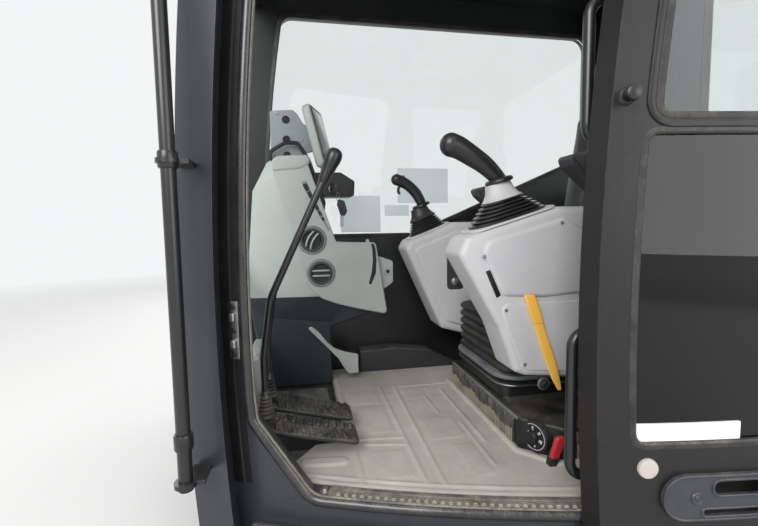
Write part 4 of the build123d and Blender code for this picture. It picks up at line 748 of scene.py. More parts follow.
# %% Side views of the consoles
SEAT_TOP = 580.0
LEFT_SIDE = (
    (96, 75), (77, 116), (-160, 185.5), (-345, 185.5), (-345, -160), (-271, -247), (-77, -228), (-48, -216),
    (-8, -106), (35, -32),
)
LEFT_UPPER = (
    (-10, -27), (-118, -34), (-215, -28), (-262, -18), (-286, 0), (-300, 92), (-170, 160), (30, 108),
    (40, 76), (18, 30),
)
LEFT_LOWER = ((-2, -44), (-230, -44), (-250, -228), (-86, -214), (-66, -206), (-24, -104))
RIGHT_SIDE = (
    (84, 62), (66, 92), (-100, 157), (-345, 157), (-345, -220), (-148, -263), (-50, -235), (-31, -195),
)
RIGHT_RECESS = (-132, -66, -90, 70)
RIGHT_PANEL = (
    (55, 56), (48, 68), (-106, 128), (-318, 128), (-318, -198), (-148, -234), (-70, -212), (-56, -186),
)


def over_seat(points):
    """Side-view points in metres from x and height over the cushion's top."""
    return [(x * MM, (SEAT_TOP + rise) * MM) for x, rise in points]


# %% Left console: body, upper and lower panel
LEFT_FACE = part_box("left_console")[1].y - 0.008
LEFT_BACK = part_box("left_console")[0].y
side_piece(
    "left_console_body", over_seat(LEFT_SIDE), 0.018, LEFT_BACK, LEFT_FACE, 0.016, "seat", "console_light",
    "left_console", foot_edge=0.006,
)
side_piece(
    "left_console_upper_panel", over_seat(LEFT_UPPER), 0.026, LEFT_FACE - 0.01, LEFT_FACE + 0.0075, 0.012,
    "seat", "console_light",
)
side_piece(
    "left_console_lower_panel", over_seat(LEFT_LOWER), 0.02, LEFT_FACE - 0.01, LEFT_FACE + 0.0035, 0.005,
    "seat", "console_light",
)
print("left console from y", round(LEFT_BACK, 3), "to", round(LEFT_FACE + 0.008, 3))

# %% Right console: body, rounded panel and the button in its recess
RIGHT_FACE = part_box("right_console")[1].y - 0.008
RIGHT_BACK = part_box("right_console")[0].y
side_piece(
    "right_console_body", over_seat(RIGHT_SIDE), 0.018, RIGHT_BACK, RIGHT_FACE, 0.016, "seat",
    "console_light", "right_console", foot_edge=0.006,
)
side_piece(
    "right_console_panel", over_seat(RIGHT_PANEL), 0.024, RIGHT_FACE - 0.01, RIGHT_FACE + 0.0078, 0.012,
    "seat", "console_light",
)
x0, x1, z0, z1 = RIGHT_RECESS
side_piece(
    "right_console_recess", over_seat([(x0, z0), (x1, z0), (x1, z1), (x0, z1)]), 0.016, RIGHT_FACE,
    RIGHT_FACE + 0.0086, 0.002, "seat", "console_dark",
)
turned_piece(
    "right_console_button", [(0, 17), (6, 17), (8, 15.5), (9, 14), (11.5, 13.5), (13, 11), (13.5, 0)],
    ((x0 + x1) / 2 * MM, RIGHT_FACE + 0.004, (SEAT_TOP + z0 + 30) * MM), (0, 1, 0), "seat", "rail_steel",
)

# %% [markdown]
# ## The two sticks
# A stick stands in a bellows of soft black rubber, so that it can lean without letting dust in. The bellows
# is one skin whose rings step in and out, the grey collar over it is a short funnel, and the grip is a tube
# whose radius swells towards the head. Every ring is an oval that gets rounder towards the top.

# %% Bellows, collar and grip
BOOT_RIBS = 6
BOOT_H = 0.055
COLLAR_LOW, COLLAR_TOP, COLLAR_H = 0.048, 0.031, 0.04
GRIP_LINE = ((-0.009, 0.096), (0.001, 0.116), (0.02, 0.146), (0.046, 0.176), (0.072, 0.203), (0.09, 0.216))
GRIP_RADII = (0.018, 0.02, 0.0228, 0.0252, 0.0274, 0.0288)

BOOT = finish(
    "boot_rubber", (26, 30, 35), 0.3, (36, 39, 43), grain=(0.001, 0.00003), dust=(0.12, 0.06, 0.1),
    wear=(0.002, 0.35, (86, 88, 90)), coat=0.2,
)


def oval(half_x, half_y, power=2.6, steps=48):
    """A superellipse: rounder than a rectangle, fuller than an ellipse."""
    made = []
    for a in angles(steps):
        c, s = math.cos(a), math.sin(a)
        made.append((
            half_x * math.copysign(abs(c) ** (2 / power), c), half_y * math.copysign(abs(s) ** (2 / power), s)
        ))
    return made


def slope_frame(x, y, outline):
    """Origin and directions on a console's sloping top at x."""
    (x_front, z_front), (x_rear, z_rear) = outline[1:3]
    t = math.atan2(z_rear - z_front, x_front - x_rear)
    z = SEAT_TOP + z_front + (x_front - x) * math.tan(t)
    origin = Vector((x, y, z)) * MM
    return origin, Vector((math.cos(t), 0, -math.sin(t))), Vector((math.sin(t), 0, math.cos(t)))


def build_stick(name, node_name, x, y, half, outline, path, radii_at, collar_finish):
    """Bellows, collar, ring and grip on one console."""
    origin, along, lift = slope_frame(x, y, outline)
    side = Vector((0, 1, 0))

    def spot(u, v, w):
        return origin + along * u + side * v + lift * w

    plate = arcs(
        [(a * (half + 0.014), b * (half * 0.52 + 0.004)) for a, b in ((1, 1), (-1, 1), (-1, -1), (1, -1))],
        0.03,
    )
    piece(name + "_flange", rolled(bmesh.new(), plate, spot, 0.0002, 0.0055, 0.004), "seat", "console_light")
    pitch = BOOT_H / BOOT_RIBS
    rings = []
    for i in range(BOOT_RIBS):
        share = i / (BOOT_RIBS - 0.5)
        half_x = half - (half - COLLAR_LOW) * share
        half_y = half_x * (0.52 + 0.24 * share)
        for up_by, inset in (
            (0.0, 0.01), (0.16, 0.0025), (0.3, 0.0), (0.52, 0.0), (0.68, 0.003), (0.8, 0.0105),
        ):
            rings.append((half_x - inset, half_y - inset, 0.0055 + (i + up_by) * pitch * 0.93))
    piece(
        name + "_boot", skin(bmesh.new(), [[spot(u, v, w) for u, v in oval(a, b)] for a, b, w in rings]),
        "seat", "seal_rubber", material=BOOT, angle=60,
    )
    rings = []
    for share, grow in (
        (0, 0.0015), (0.05, 0.0025), (0.1, 0.0015), (0.14, -0.001), (0.5, -0.003), (0.85, -0.001), (1, 0.0),
    ):
        r = COLLAR_LOW + (COLLAR_TOP - COLLAR_LOW) * share + grow
        rings.append([spot(u, v, BOOT_H + COLLAR_H * share) for u, v in oval(r, r * 0.82, 2.2)])
    piece(name + "_collar", skin(bmesh.new(), rings), "seat", "console_light", material=collar_finish)
    profile = ((0, 30), (1, 33), (4, 34.5), (8, 34), (11, 31), (12, 26), (13, 17))
    turned_piece(
        name + "_ring", profile, spot(path[0][0] + 0.004, 0, BOOT_H + COLLAR_H - 0.001), lift, "seat",
        "grip_plastic", sides=40,
    )
    line = bezier_line([spot(u, 0, w) for u, w in path])
    radii = []
    for k in range(len(line)):
        t = k / (len(line) - 1) * (len(radii_at) - 1)
        i = min(int(t), len(radii_at) - 2)
        radii.append(radii_at[i] + (radii_at[i + 1] - radii_at[i]) * (t - i))
    way = (line[-1] - line[-2]).normalized()
    tip, r = line[-1], radii[-1]
    for k in range(1, 8):
        a = math.pi / 2 * k / 7
        line.append(tip + way * r * math.sin(a) * 0.95)
        radii.append(max(r * math.cos(a), 0.0004))
    piece(
        name + "_grip", pipe(bmesh.new(), line, radii, sides=32, flat=0.9, side=side), "seat", "grip_plastic",
        node_name,
    )
    return spot


build_stick(
    "left_stick", "stick_left", -54.5, 375.0, 0.1, LEFT_SIDE, GRIP_LINE, GRIP_RADII,
    MATERIALS["console_light"],
)
RIGHT_LINE = ((-0.016, 0.088), (-0.016, 0.116), (-0.01, 0.15), (0.004, 0.182), (0.022, 0.206), (0.04, 0.222))
RIGHT_RADII = (0.0165, 0.0185, 0.02, 0.0195, 0.0205, 0.021)
right_spot = build_stick(
    "right_stick", "stick_right", -17.0, -175.0, 0.072, RIGHT_SIDE, RIGHT_LINE, RIGHT_RADII,
    MATERIALS["frame_black"],
)
buttons = bmesh.new()
for u, v, w, r in ((0.014, 0.008, 0.2215, 4.8), (0.03, -0.008, 0.2345, 4.8), (0.034, 0.008, 0.236, 4.0)):
    centre, out_to = right_spot(u, v, w), right_spot(u - 0.6, v * 3, w + 0.9) - right_spot(u, v, w)
    lathe(
        buttons, [(-6, 0), (-6, r * 1.3), (1, r * 1.25), (1.4, r), (4.2, r * 0.94), (5.2, r * 0.7), (5.4, 0)],
        centre, out_to, sides=20,
    )
piece("right_stick_buttons", buttons, "seat", "frame_black")
line = bezier_line(
    [
        right_spot(0.036, 0.0, 0.196), right_spot(0.046, 0.0, 0.188), right_spot(0.05, 0.0, 0.176),
        right_spot(0.047, 0.0, 0.168),
    ],
    6,
)
piece(
    "right_stick_trigger",
    pipe(bmesh.new(), line, [0.0052] * (len(line) - 3) + [0.0048, 0.004, 0.0022], sides=14), "seat",
    "frame_black",
)
print("sticks built")

# %% [markdown]
# ## Travel levers
# Each travel lever is a steel rod in a plastic sleeve that rises from its pedal, bends back towards the seat
# and ends in a moulded knob. A rubber gaiter hides the foot. The rod is one tube with real bends.

# %% Levers, knobs and gaiters
FLOOR_TOP = 0.13
LEVER_POINTS = ((0.556, 0.125), (0.556, 0.27), (0.534, 0.418), (0.378, 0.747))


def build_lever(name, node_name, y):
    """A travel lever at one y."""
    line = bent([(x, y, FLOOR_TOP + rise) for x, rise in LEVER_POINTS], 0.16, 10)
    piece(
        name + "_rod", pipe(bmesh.new(), line, 0.009, sides=20, side=Vector((0, 1, 0))), "cab",
        "grip_plastic", node_name,
    )
    way = (line[-1] - line[-2]).normalized()
    profile = (
        (-45, 10.2), (-40, 12), (-25, 13.2), (-12, 14.8), (0, 17.2), (10, 19.4), (20, 20.6), (29, 20.6),
        (38, 18.5), (44, 13.5), (47, 6), (47.5, 0),
    )
    turned_piece(name + "_knob", profile, line[-1] - way * 0.002, way, "cab", "grip_plastic")
    rings = [(0, 24), (4, 26)]
    for i in range(6):
        rings += [(6 + i * 9, 24.5 - i * 1.8), (10.5 + i * 9, 20.5 - i * 1.8)]
    rings += [(62, 12.5), (68, 10.5)]
    turned_piece(
        name + "_gaiter", rings, (0.556, y, FLOOR_TOP + 0.118), (0, 0, 1), "cab", "seal_rubber", angle=60,
    )


build_lever("left_lever", "travel_lever_left", 0.29)
build_lever("right_lever", "travel_lever_right", 0.155)

# %% [markdown]
# ## Front console
# The tall console at the front right is a pale moulding. Its facing panel turns back along a slanting crease,
# so that flat facets catch the light differently. Vents, rocker switches, sockets, the monitor and the key
# sit on it. Side views are x against z, in millimetres.

# %% Body, facing panel and facets
DASH_Y = -0.2
DASH_BODY = (
    (600, 120), (655, 500), (622, 860), (566, 966), (428, 976), (325, 669), (190, 660), (160, 400),
    (350, 345), (350, 120),
)
DASH_FACE = (
    (543, 918), (539, 964), (428, 976), (325, 669), (177, 666), (135, 390), (255, 418), (325, 438),
    (380, 460), (416, 487), (436, 515), (448, 552), (465, 624),
)
CREASE = ((539, 962), (543, 918), (465, 624), (448, 552), (436, 515), (416, 487), (325, 438))
OUTER = ((564, 962), (616, 862), (646, 560), (648, 500), (640, 440), (600, 395), (350, 365))


def flat(points):
    """Side-view points from millimetres to metres."""
    return [(x * MM, z * MM) for x, z in points]


def lean_line(points, radius, steps=4):
    """An open line of 2-D points with arcs at its bends."""
    return [Vector((p.x, p.y)) for p in bent([(x * MM, z * MM, 0) for x, z in points], radius, steps)]


# Below 0.47 m the console turns dark grey: partly the lower body's own darker colour, partly painted shade under
# the facing panel.
CONSOLE_DARK_FOOT_AND_SHADE = finish(
    "console_dark_foot_and_shade", (192, 196, 193), 0.5, (183, 187, 184), grain=(0.0011, 0.00005),
    wear=(0.0025, 0.35, (214, 220, 214)), dust=(0.12, 0.25, 0.04), foot=(0.47, (44, 49, 57)),
)
side_piece(
    "front_console_body", flat(DASH_BODY), 0.014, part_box("front_console")[0].y, DASH_Y - 0.036, 0.01, "cab",
    "console_green", "front_console", material=CONSOLE_DARK_FOOT_AND_SHADE,
)
side_piece("front_console_face", flat(DASH_FACE), 0.014, DASH_Y - 0.03, DASH_Y, 0.006, "cab", "console_green")
inner, outer = lean_line(CREASE, 0.02), lean_line(OUTER, 0.02)
rings = []
for p, q in zip(inner, outer):
    corners = ((p, -0.01, -0.0035), (q, 0.0, -0.0345), (q, 0.002, -0.042), (p, -0.01, -0.042))
    rings.append([Vector((at.x + forward, DASH_Y + inward, at.y)) for at, forward, inward in corners])
piece("front_console_facets", skin(bmesh.new(), rings), "cab", "console_green", material=CONSOLE_DARK_FOOT_AND_SHADE, angle=20)
shape = (
    (440, 348), (424, 352), (398, 330), (366, 286), (338, 262), (300, 246), (249, 234), (249, 160),
    (286, 160), (300, 176), (326, 222), (362, 262), (402, 306),
)
side_piece(
    "front_console_brace", flat(shape), 0.006, DASH_Y - 0.0365, DASH_Y - 0.027, 0.002, "cab", "console_green",
)
shape = ((235, 132), (231, 222), (84, 226), (-62, 208), (-188, 140), (-188, 132))
side_piece("wall_duct", flat(shape), 0.01, -0.3755, -0.305, 0.006, "cab", "console_dark")
ledge = ((548, 925), (546, 968), (528, 981), (424, 987), (409, 972), (419, 950), (452, 934))
side_piece(
    "front_console_cap", flat(ledge), 0.012, DASH_Y - 0.058, DASH_Y + 0.0045, 0.01, "cab", "console_green",
    steps=6,
)
shape = ((200, 640), (159, 611), (101, 590), (102, 506), (145, 477), (180, 520))
flap = side_slab(bmesh.new(), flat(shape), 0.014, -0.2625, -0.2515, 0.003)
lathe(flap, [(0, 0), (0, 16.5), (4, 15), (4.5, 12), (2, 10.5), (1, 0)], (0.122, -0.2525, 0.55), (0, 1, 0))
piece("front_console_flap", flap, "cab", "console_green")
# Black patches of painted shade: one in a slot beside the flap and one in the hollow of the flap's round knob.
slot_line = (
    (196, 664), (186, 662), (180, 645), (176, 600), (180, 550), (198, 506), (208, 512), (196, 552),
    (190, 600), (192, 640),
)
dark = side_slab(bmesh.new(), flat(slot_line), 0.008, DASH_Y - 0.004, DASH_Y + 0.0012, 0.001)
lathe(dark, [(0, 0), (0, 7.5), (3, 7), (1.5, 5), (1, 0)], (0.122, -0.2505, 0.55), (0, 1, 0))
piece("front_console_gap_shade", dark, "cab", "frame_black")
turned_piece(
    "front_console_stud", [(0, 0), (0, 9), (4, 8.8), (5, 6.8), (12, 6), (13.5, 4.5), (13.8, 0)],
    (0.206, -0.222, 0.664), (0, 0, 1), "cab", "console_light",
)

# %% Vents: a pale boss, a grey ring, a black bowl and silver slats
VENTS = ((414, 680, 62.0), (385, 558, 0.0))
DARK_RING = finish(
    "vent_ring", (70, 73, 78), 0.4, (60, 63, 68), grain=(0.001, 0.00004), wear=(0.001, 0.4, STEEL),
    dust=(0.3, 0.08, 0.1),
)
SILVER = finish(
    "silver_plastic", (206, 208, 210), 0.32, (190, 192, 195), metal=0.15, grain=(0.001, 0.00001),
    wear=(0.0006, 0.2, (214, 214, 214)), dust=(0.3, 0.05, 0.1),
)
# A grey darker than the console: on the socket plate this darker grey is partly painted shade.
PLATE_GREY_AND_SHADE = finish(
    "plate_grey_and_shade", (148, 154, 158), 0.5, (136, 142, 146), grain=(0.0011, 0.00005),
    wear=(0.002, 0.3, (190, 194, 194)), dust=(0.3, 0.2, 0.08),
)
BOSS_GREY = finish(
    "boss_grey", (146, 150, 150), 0.36, (128, 132, 133), grain=(0.001, 0.00004),
    wear=(0.0015, 0.5, (196, 198, 196)), dust=(0.25, 0.1, 0.08),
)
bosses = bmesh.new()
dark_rings = bmesh.new()
bowls = bmesh.new()
slats = bmesh.new()
out = Vector((0, 1, 0))
for x, z, turn in VENTS:
    centre = Vector((x * MM, DASH_Y, z * MM))
    lathe(
        bosses, [(-4, 40), (-2, 53.5), (3.5, 52), (6.2, 49.5), (7, 46.5), (6, 42.5), (1, 40)], centre, out,
        sides=48, hollow=True,
    )
    lathe(
        dark_rings, [(0, 30), (0, 43.2), (8.5, 42.8), (11.2, 40.8), (12, 38.5), (11.2, 35), (6, 32.5)],
        centre, out, sides=48, hollow=True,
    )
    lathe(bowls, [(-1, 0), (-1, 34), (6.2, 33), (2.5, 30), (0.6, 0)], centre, out, sides=40)
    spin = Matrix.Rotation(math.radians(turn), 3, "Y")
    for k, gap in enumerate((-0.0095, 0.0095) if turn == 0.0 else (-0.0085, 0.01)):
        reach = math.sqrt(0.0325**2 - gap**2)
        line = []
        for step in range(17):
            s = -1 + 2 * step / 16
            bow = 0.0 if turn == 0.0 else 0.006 * (1 - s * s)
            p = Vector((s * reach, 0.0045 + 0.0035 * (1 - s * s), gap + bow))
            line.append(centre + spin @ p)
        pipe(slats, line, 0.0052, sides=12, flat=0.55, side=spin @ Vector((0, 0.35, 1)))
piece("vent_bosses", bosses, "cab", "console_green", material=BOSS_GREY)
piece("vent_rings_round", dark_rings, "cab", "grip_plastic", "vent_rings", material=DARK_RING)
piece("vent_bowls", bowls, "cab", "frame_black")
piece("vent_slats", slats, "cab", "rail_steel", material=SILVER)

# %% Rocker switches along a slit that narrows downwards
shape = ((446, 890), (428, 893), (399, 822), (346, 712), (352, 709), (409, 806))
slit = side_slab(bmesh.new(), flat(shape), 0.003, DASH_Y - 0.004, DASH_Y + 0.0006, 0.0005)
start, end = Vector((436.5, 884)), Vector((351, 714))
way = (end - start).normalized()
rockers = bmesh.new()
for centre_at, length, width in (
    (0.08, 27, 15.5), (0.235, 25, 14.0), (0.5, 21, 11.0), (0.63, 19, 9.5), (0.75, 15, 8.0),
):
    middle = start + (end - start) * centre_at
    across = Vector((-way.y, way.x))
    corners = [
        middle + way * a * length / 2 + across * b * width / 2
        for a, b in ((1, 1), (-1, 1), (-1, -1), (1, -1))
    ]

    def tilted(u, v, w, middle=middle, length=length):
        """A rocker's upper half stands out further than its lower half."""
        s = (Vector((u, v)) / MM - middle).dot(way) / length
        return Vector((u, DASH_Y + w - s * 0.0022 * (w > 0.001), v))

    rolled(
        rockers, arcs([(c.x * MM, c.y * MM) for c in corners], 0.0022), tilted, -0.002, 0.0042, 0.0016,
        steps=3,
    )
piece("switch_slit", slit, "cab", "frame_black", material=PLATE_GREY_AND_SHADE)
piece("rocker_switches", rockers, "cab", "grip_plastic")

# %% Plate with three round sockets
outline = (
    (440, 970), (552, 958), (552, 1150), (470, 1156), (452, 1140), (434, 1108), (418, 1098), (384, 1086),
    (374, 1072), (372, 1015), (425, 1000),
)
plate = side_slab(bmesh.new(), flat(outline), 0.012, DASH_Y - 0.062, DASH_Y - 0.0495, 0.004)
for x, z in ((440, 1046), (398, 1040), (524, 1140)):
    lathe(
        plate, [(0, 0), (0, 6.2), (2.2, 5.8), (3, 3.5), (3.1, 0)], (x * MM, DASH_Y - 0.05, z * MM), (0, 1, 0),
        sides=18,
    )
# The socket plate's darker grey is partly painted shade.
piece("socket_plate", plate, "cab", "console_green", material=PLATE_GREY_AND_SHADE)
sockets = bmesh.new()
for x, z in ((495, 1119), (495, 1048), (494, 991)):
    lathe(
        sockets, [(-6, 0), (-6, 14.2), (2.2, 14), (4, 12.6), (4.2, 11.2), (1.6, 10.2), (0.8, 9.8), (0.8, 0)],
        (x * MM, DASH_Y - 0.0495, z * MM), (0, 1, 0), sides=36,
    )
    lathe(
        sockets, [(0, 0), (0, 5), (2.2, 4.6), (3, 3), (3.1, 0)], (x * MM, DASH_Y - 0.0495, z * MM), (0, 1, 0),
        sides=20,
    )
piece("plate_sockets", sockets, "cab", "grip_plastic")

# %% Monitor: a pale housing, a black frame and a glossy blank screen
MONITOR_W, MONITOR_H, MONITOR_T = 0.15, 0.236, 0.034
turn, tilt = math.radians(20.0), math.radians(13.6)
corner = Vector((0.36, -0.205, 0.95))
to_right = Vector((-math.sin(turn), -math.cos(turn), 0))
facing = Vector((-math.cos(turn) * math.cos(tilt), math.sin(turn) * math.cos(tilt), math.sin(tilt)))
upward = facing.cross(to_right)


def on_screen(u, v, w):
    """A point on the monitor: across, up, and out of its screen."""
    return corner + to_right * u + upward * v + facing * w


def screen_rectangle(inset, radius):
    """A rounded rectangle set in from the monitor's edges."""
    return rectangle(inset, MONITOR_W - inset, inset, MONITOR_H - inset, radius)


SCREEN = finish(
    "screen", (16, 22, 34), 0.08, (20, 27, 40), grain=(0.004, 0.000002), dust=(0.12, 0.05, 0.4), coat=0.6,
    coat_rough=0.04,
)
housing = rolled(
    bmesh.new(), screen_rectangle(0.0, 0.02), on_screen, -MONITOR_T, -0.001, 0.008, foot_edge=0.008,
)
for k in range(6):
    v = 0.045 + 0.018 * k
    rolled(
        housing, rectangle(0.03, 0.12, v, v + 0.008, 0.003),
        lambda u, v, w: on_screen(u, v, -MONITOR_T + 0.001 - w), 0.0, 0.003, 0.001, steps=2,
    )
piece("monitor_housing", housing, "cab", "console_green", "monitor")
piece(
    "monitor_frame",
    rolled(bmesh.new(), screen_rectangle(0.008, 0.014), on_screen, -0.004, 0.0012, 0.002, steps=4), "cab",
    "frame_black",
)
piece(
    "monitor_screen",
    rolled(
        bmesh.new(), rectangle(0.018, MONITOR_W - 0.018, 0.05, MONITOR_H - 0.018, 0.006), on_screen, -0.003,
        0.0018, 0.0008, steps=2,
    ),
    "cab", "grip_plastic", material=SCREEN,
)
keys = bmesh.new()
for k in range(5):
    u = 0.026 + 0.0245 * k
    rolled(keys, rectangle(u - 0.008, u + 0.008, 0.02, 0.038, 0.004), on_screen, 0.0, 0.0034, 0.0012, steps=3)
piece("monitor_keys", keys, "cab", "grip_plastic")
line = bent(
    [(0.4, DASH_Y - 0.057, 1.045), (0.385, DASH_Y - 0.06, 1.06), on_screen(0.05, 0.115, -MONITOR_T - 0.004)],
    0.01,
)
piece("monitor_stay", pipe(bmesh.new(), line, 0.012, sides=20), "cab", "frame_black")

# %% Key switch with its key, ring, fob and blank tag, on a dark housing
box_low, box_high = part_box("switch_box")
shape = ((440, 928), (300, 930), (248, 897), (251, 841), (410, 838))
side_piece(
    "switch_housing", flat(shape), 0.01, box_low.y, box_high.y, 0.006, "cab", "frame_black", "switch_box",
)
turned_piece(
    "key_barrel", [(-12, 0), (-12, 16.5), (3, 16.2), (6, 14.5), (6.5, 11.2), (4.5, 10), (4.5, 4), (3, 0)],
    (0.332, box_high.y + 0.001, 0.868), (0, 1, 0), "cab", "rail_steel", sides=40,
)
head = arcs(
    [(0.342, 0.886), (0.316, 0.89), (0.306, 0.872), (0.316, 0.85), (0.34, 0.85), (0.348, 0.868)], 0.009,
)
piece(
    "key_head",
    rolled(
        bmesh.new(), head,
        lambda u, v, w: Vector((
            0.332 + (u - 0.332) * 0.55 + w - 0.0025, box_high.y + 0.01 + (0.348 - u) * 0.5, v,
        )),
        0.0, 0.006, 0.002, steps=3,
    ),
    "cab", "grip_plastic",
)
centre = Vector((0.315, box_high.y + 0.024, 0.838))
turns = angles(28) + [2 * math.pi]
loop = [centre + Vector((math.cos(a) * 0.006, math.sin(a) * 0.004, math.sin(a) * 0.0155)) for a in turns]
piece("key_ring", pipe(bmesh.new(), loop, 0.0011, sides=8), "cab", "rail_steel")
shape = [(0.316, 0.829), (0.292, 0.822), (0.282, 0.784), (0.292, 0.766), (0.308, 0.77), (0.32, 0.808)]
side_piece(
    "key_fob", shape, 0.006, box_high.y + 0.026, box_high.y + 0.0325, 0.002, "cab", "grip_plastic", steps=3,
)
shape = [(0.309, 0.782), (0.296, 0.781), (0.296, 0.727), (0.309, 0.727)]
side_piece(
    "key_tag", shape, 0.003, box_high.y + 0.0205, box_high.y + 0.0225, 0.0006, "cab", "console_light", steps=2
)
print("front console done")

# %% Blank label sheets on the right window
LABEL = finish(
    "blank_label", (236, 237, 238), 0.5, (226, 228, 230), grain=(0.0015, 0.00001), dust=(0.2, 0.08, 0.4),
    scratch=(0.1, 0.02, (186, 186, 186)),
)
tree = LABEL.node_tree
glow = node(tree, "BsdfTranslucent", {"Color": colour(232, 234, 236)}).outputs[0]
shader = tree.nodes["Principled BSDF"].outputs[0]
fill(
    tree, tree.nodes["Material Output"],
    {"Surface": node(tree, "MixShader", {0: 0.8, 1: shader, 2: glow}).outputs[0]},
)
labels = bmesh.new()
for outline in (
    ((290, 855), (122, 855), (122, 704), (290, 704)), ((47, 970), (-176, 970), (-176, 824), (47, 824)),
    ((103, 816), (-2, 816), (-2, 770), (103, 770)),
):
    side_slab(labels, flat(outline), 0.003, -0.3941, -0.3932, 0.0003, steps=2)
piece("window_labels", labels, "cab", "console_light", material=LABEL)

# %% [markdown]
# ## Foam under cloth
# A seat's cushion is foam pulled tight under sewn cloth. Its panels swell between the seams, so each pad
# starts a little small, is meshed evenly, and is blown up as cloth whose seam points are held. How far a
# point may move is capped, which keeps the pad within the size of its solid. Grooves are pressed in along the
# seams afterwards.


# %% A box with round edges, and cloth blown up from it
CLOTH_STEPS = 20


def pillow(mesh, low, high, r, cuts=22):
    """A box with round edges, split finely enough to be shaped afterwards."""
    low, high = Vector(low), Vector(high)
    bmesh.ops.create_cube(mesh, size=2.0)
    bmesh.ops.subdivide_edges(mesh, edges=mesh.edges[:], cuts=cuts, use_grid_fill=True)
    middle, half = (low + high) / 2, (high - low) / 2
    for v in mesh.verts:
        p = Vector([v.co[i] * half[i] for i in range(3)])
        core = Vector([max(r - half[i], min(half[i] - r, p[i])) for i in range(3)])
        v.co = middle + core + (p - core).normalized() * r


def settled(obj):
    """The mesh that an object's modifiers give."""
    graph = bpy.context.evaluated_depsgraph_get()
    return bpy.data.meshes.new_from_object(obj.evaluated_get(graph), depsgraph=graph)


def blown(name, mesh, body, nodes, voxel, cap, held, groove, second, turn=None):
    """A stuffed pad: meshed evenly, blown up as cloth from where it is held, with grooves along its seams.
    held(p) says where the cloth is fixed, groove(p, n) how deep a seam lies, second(p, n) what is vinyl."""
    rough = bpy.data.meshes.new(name)
    mesh.to_mesh(rough)
    mesh.free()
    made = bpy.data.objects.new(name, rough)
    bpy.context.scene.collection.objects.link(made)
    even = made.modifiers.new("even", "REMESH")
    even.mode = "VOXEL"
    even.voxel_size = voxel
    made.data = settled(made)
    made.modifiers.clear()
    start = [v.co.copy() for v in made.data.vertices]
    fixed = made.vertex_groups.new(name="fixed")
    fixed.add([i for i, p in enumerate(start) if held(p)], 1.0, "REPLACE")
    cloth = made.modifiers.new("cloth", "CLOTH")
    settings = cloth.settings
    settings.quality = 4
    settings.mass = 0.3
    settings.tension_stiffness = settings.compression_stiffness = 12.0
    settings.shear_stiffness = 6.0
    settings.bending_stiffness = 0.6
    settings.use_pressure = True
    settings.uniform_pressure_force = 4.0
    settings.vertex_group_mass = "fixed"
    settings.effector_weights.gravity = 0.0
    cloth.point_cache.frame_end = CLOTH_STEPS
    for step in range(1, CLOTH_STEPS + 1):
        bpy.context.scene.frame_set(step)
    grown = settled(made)
    made.modifiers.clear()
    for v, p, moved in zip(made.data.vertices, start, grown.vertices):
        way = moved.co - p
        v.co = p + way * min(1.0, cap / max(way.length, 1e-9))
    bpy.context.scene.frame_set(1)
    finer = made.modifiers.new("finer", "SUBSURF")
    finer.levels = finer.render_levels = 1
    made.data = settled(made)
    made.modifiers.clear()
    data = made.data
    moves = [v.normal * groove(v.co, v.normal) for v in data.vertices]
    for v, way in zip(data.vertices, moves):
        v.co -= way
    data.materials.clear()
    data.materials.append(MATERIALS["seat_fabric"])
    data.materials.append(VINYL)
    for face in data.polygons:
        face.use_smooth = True
        if second(face.center, face.normal):
            face.material_index = 1
    if turn is not None:
        data.transform(turn)
    data.name = name
    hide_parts(*nodes)
    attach(made, body)
    return made


def near(value, lines, width, depth):
    """Depth of the grooves along several parallel lines."""
    gap = min(abs(value - line) for line in lines)
    return depth * max(0.0, 1 - (gap / width) ** 2) ** 2


VINYL = finish(
    "seat_vinyl", (36, 37, 41), 0.46, (44, 45, 49), grain=(0.0014, 0.00008), dust=(0.1, 0.15, 0.1),
    scratch=(0.1, 0.04, (78, 78, 80)),
)

# %% Cushion: bolsters on either side of a sewn panel, and a front edge that falls away
low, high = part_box("seat_cushion")
SEAT_Y = (low.y + high.y) / 2
PANEL = 0.088  # half width of the sewn panel
cushion = bmesh.new()
pillow(cushion, low + Vector((0.004, 0.005, 0.002)), high - Vector((0.004, 0.005, 0.004)), 0.03)
for v in cushion.verts:
    share = (v.co.z - low.z) / (high.z - low.z)
    dip = 0.02 * max(0.0, 1 - (abs(v.co.y - SEAT_Y) / 0.14) ** 4)
    fall = 0.02 * max(0.0, (v.co.x - high.x + 0.11) / 0.11) ** 2
    v.co.z -= (dip + fall) * share
    v.co.y -= (v.co.y - SEAT_Y) * 0.1 * (1 - share)
rows = [low.x + 0.068 + 0.056 * k for k in range(5)]
CUSHION_LOW, CUSHION_HIGH = low, high


def beyond_panel(axis):
    """Vinyl covers everything but the sewn panel, which faces along an axis."""
    return lambda p, n: n[axis] < 0.3 or abs(p.y - SEAT_Y) > PANEL


def cushion_groove(p, n):
    """Two seams along the panel's edges, and cross seams between them."""
    if n.z < 0.15:
        return near(p.z, (CUSHION_LOW.z + 0.075,), 0.005, 0.003) * (abs(n.z) < 0.6)
    sides = near(abs(p.y - SEAT_Y), (PANEL,), 0.007, 0.006)
    return max(sides, near(p.x, rows, 0.006, 0.0045) if abs(p.y - SEAT_Y) < PANEL else 0.0)


def cushion_held(p):
    """Held underneath and along the seams on top."""
    on_top = p.z > CUSHION_HIGH.z - 0.045
    across = min(abs(p.x - row) for row in rows) < 0.004 and abs(p.y - SEAT_Y) < PANEL
    return p.z < CUSHION_LOW.z + 0.03 or on_top and (across or abs(abs(p.y - SEAT_Y) - PANEL) < 0.004)


blown(
    "seat_cushion_pad", cushion, "seat", ["seat_cushion"], 0.0055, 0.01, cushion_held, cushion_groove,
    beyond_panel(2),
)

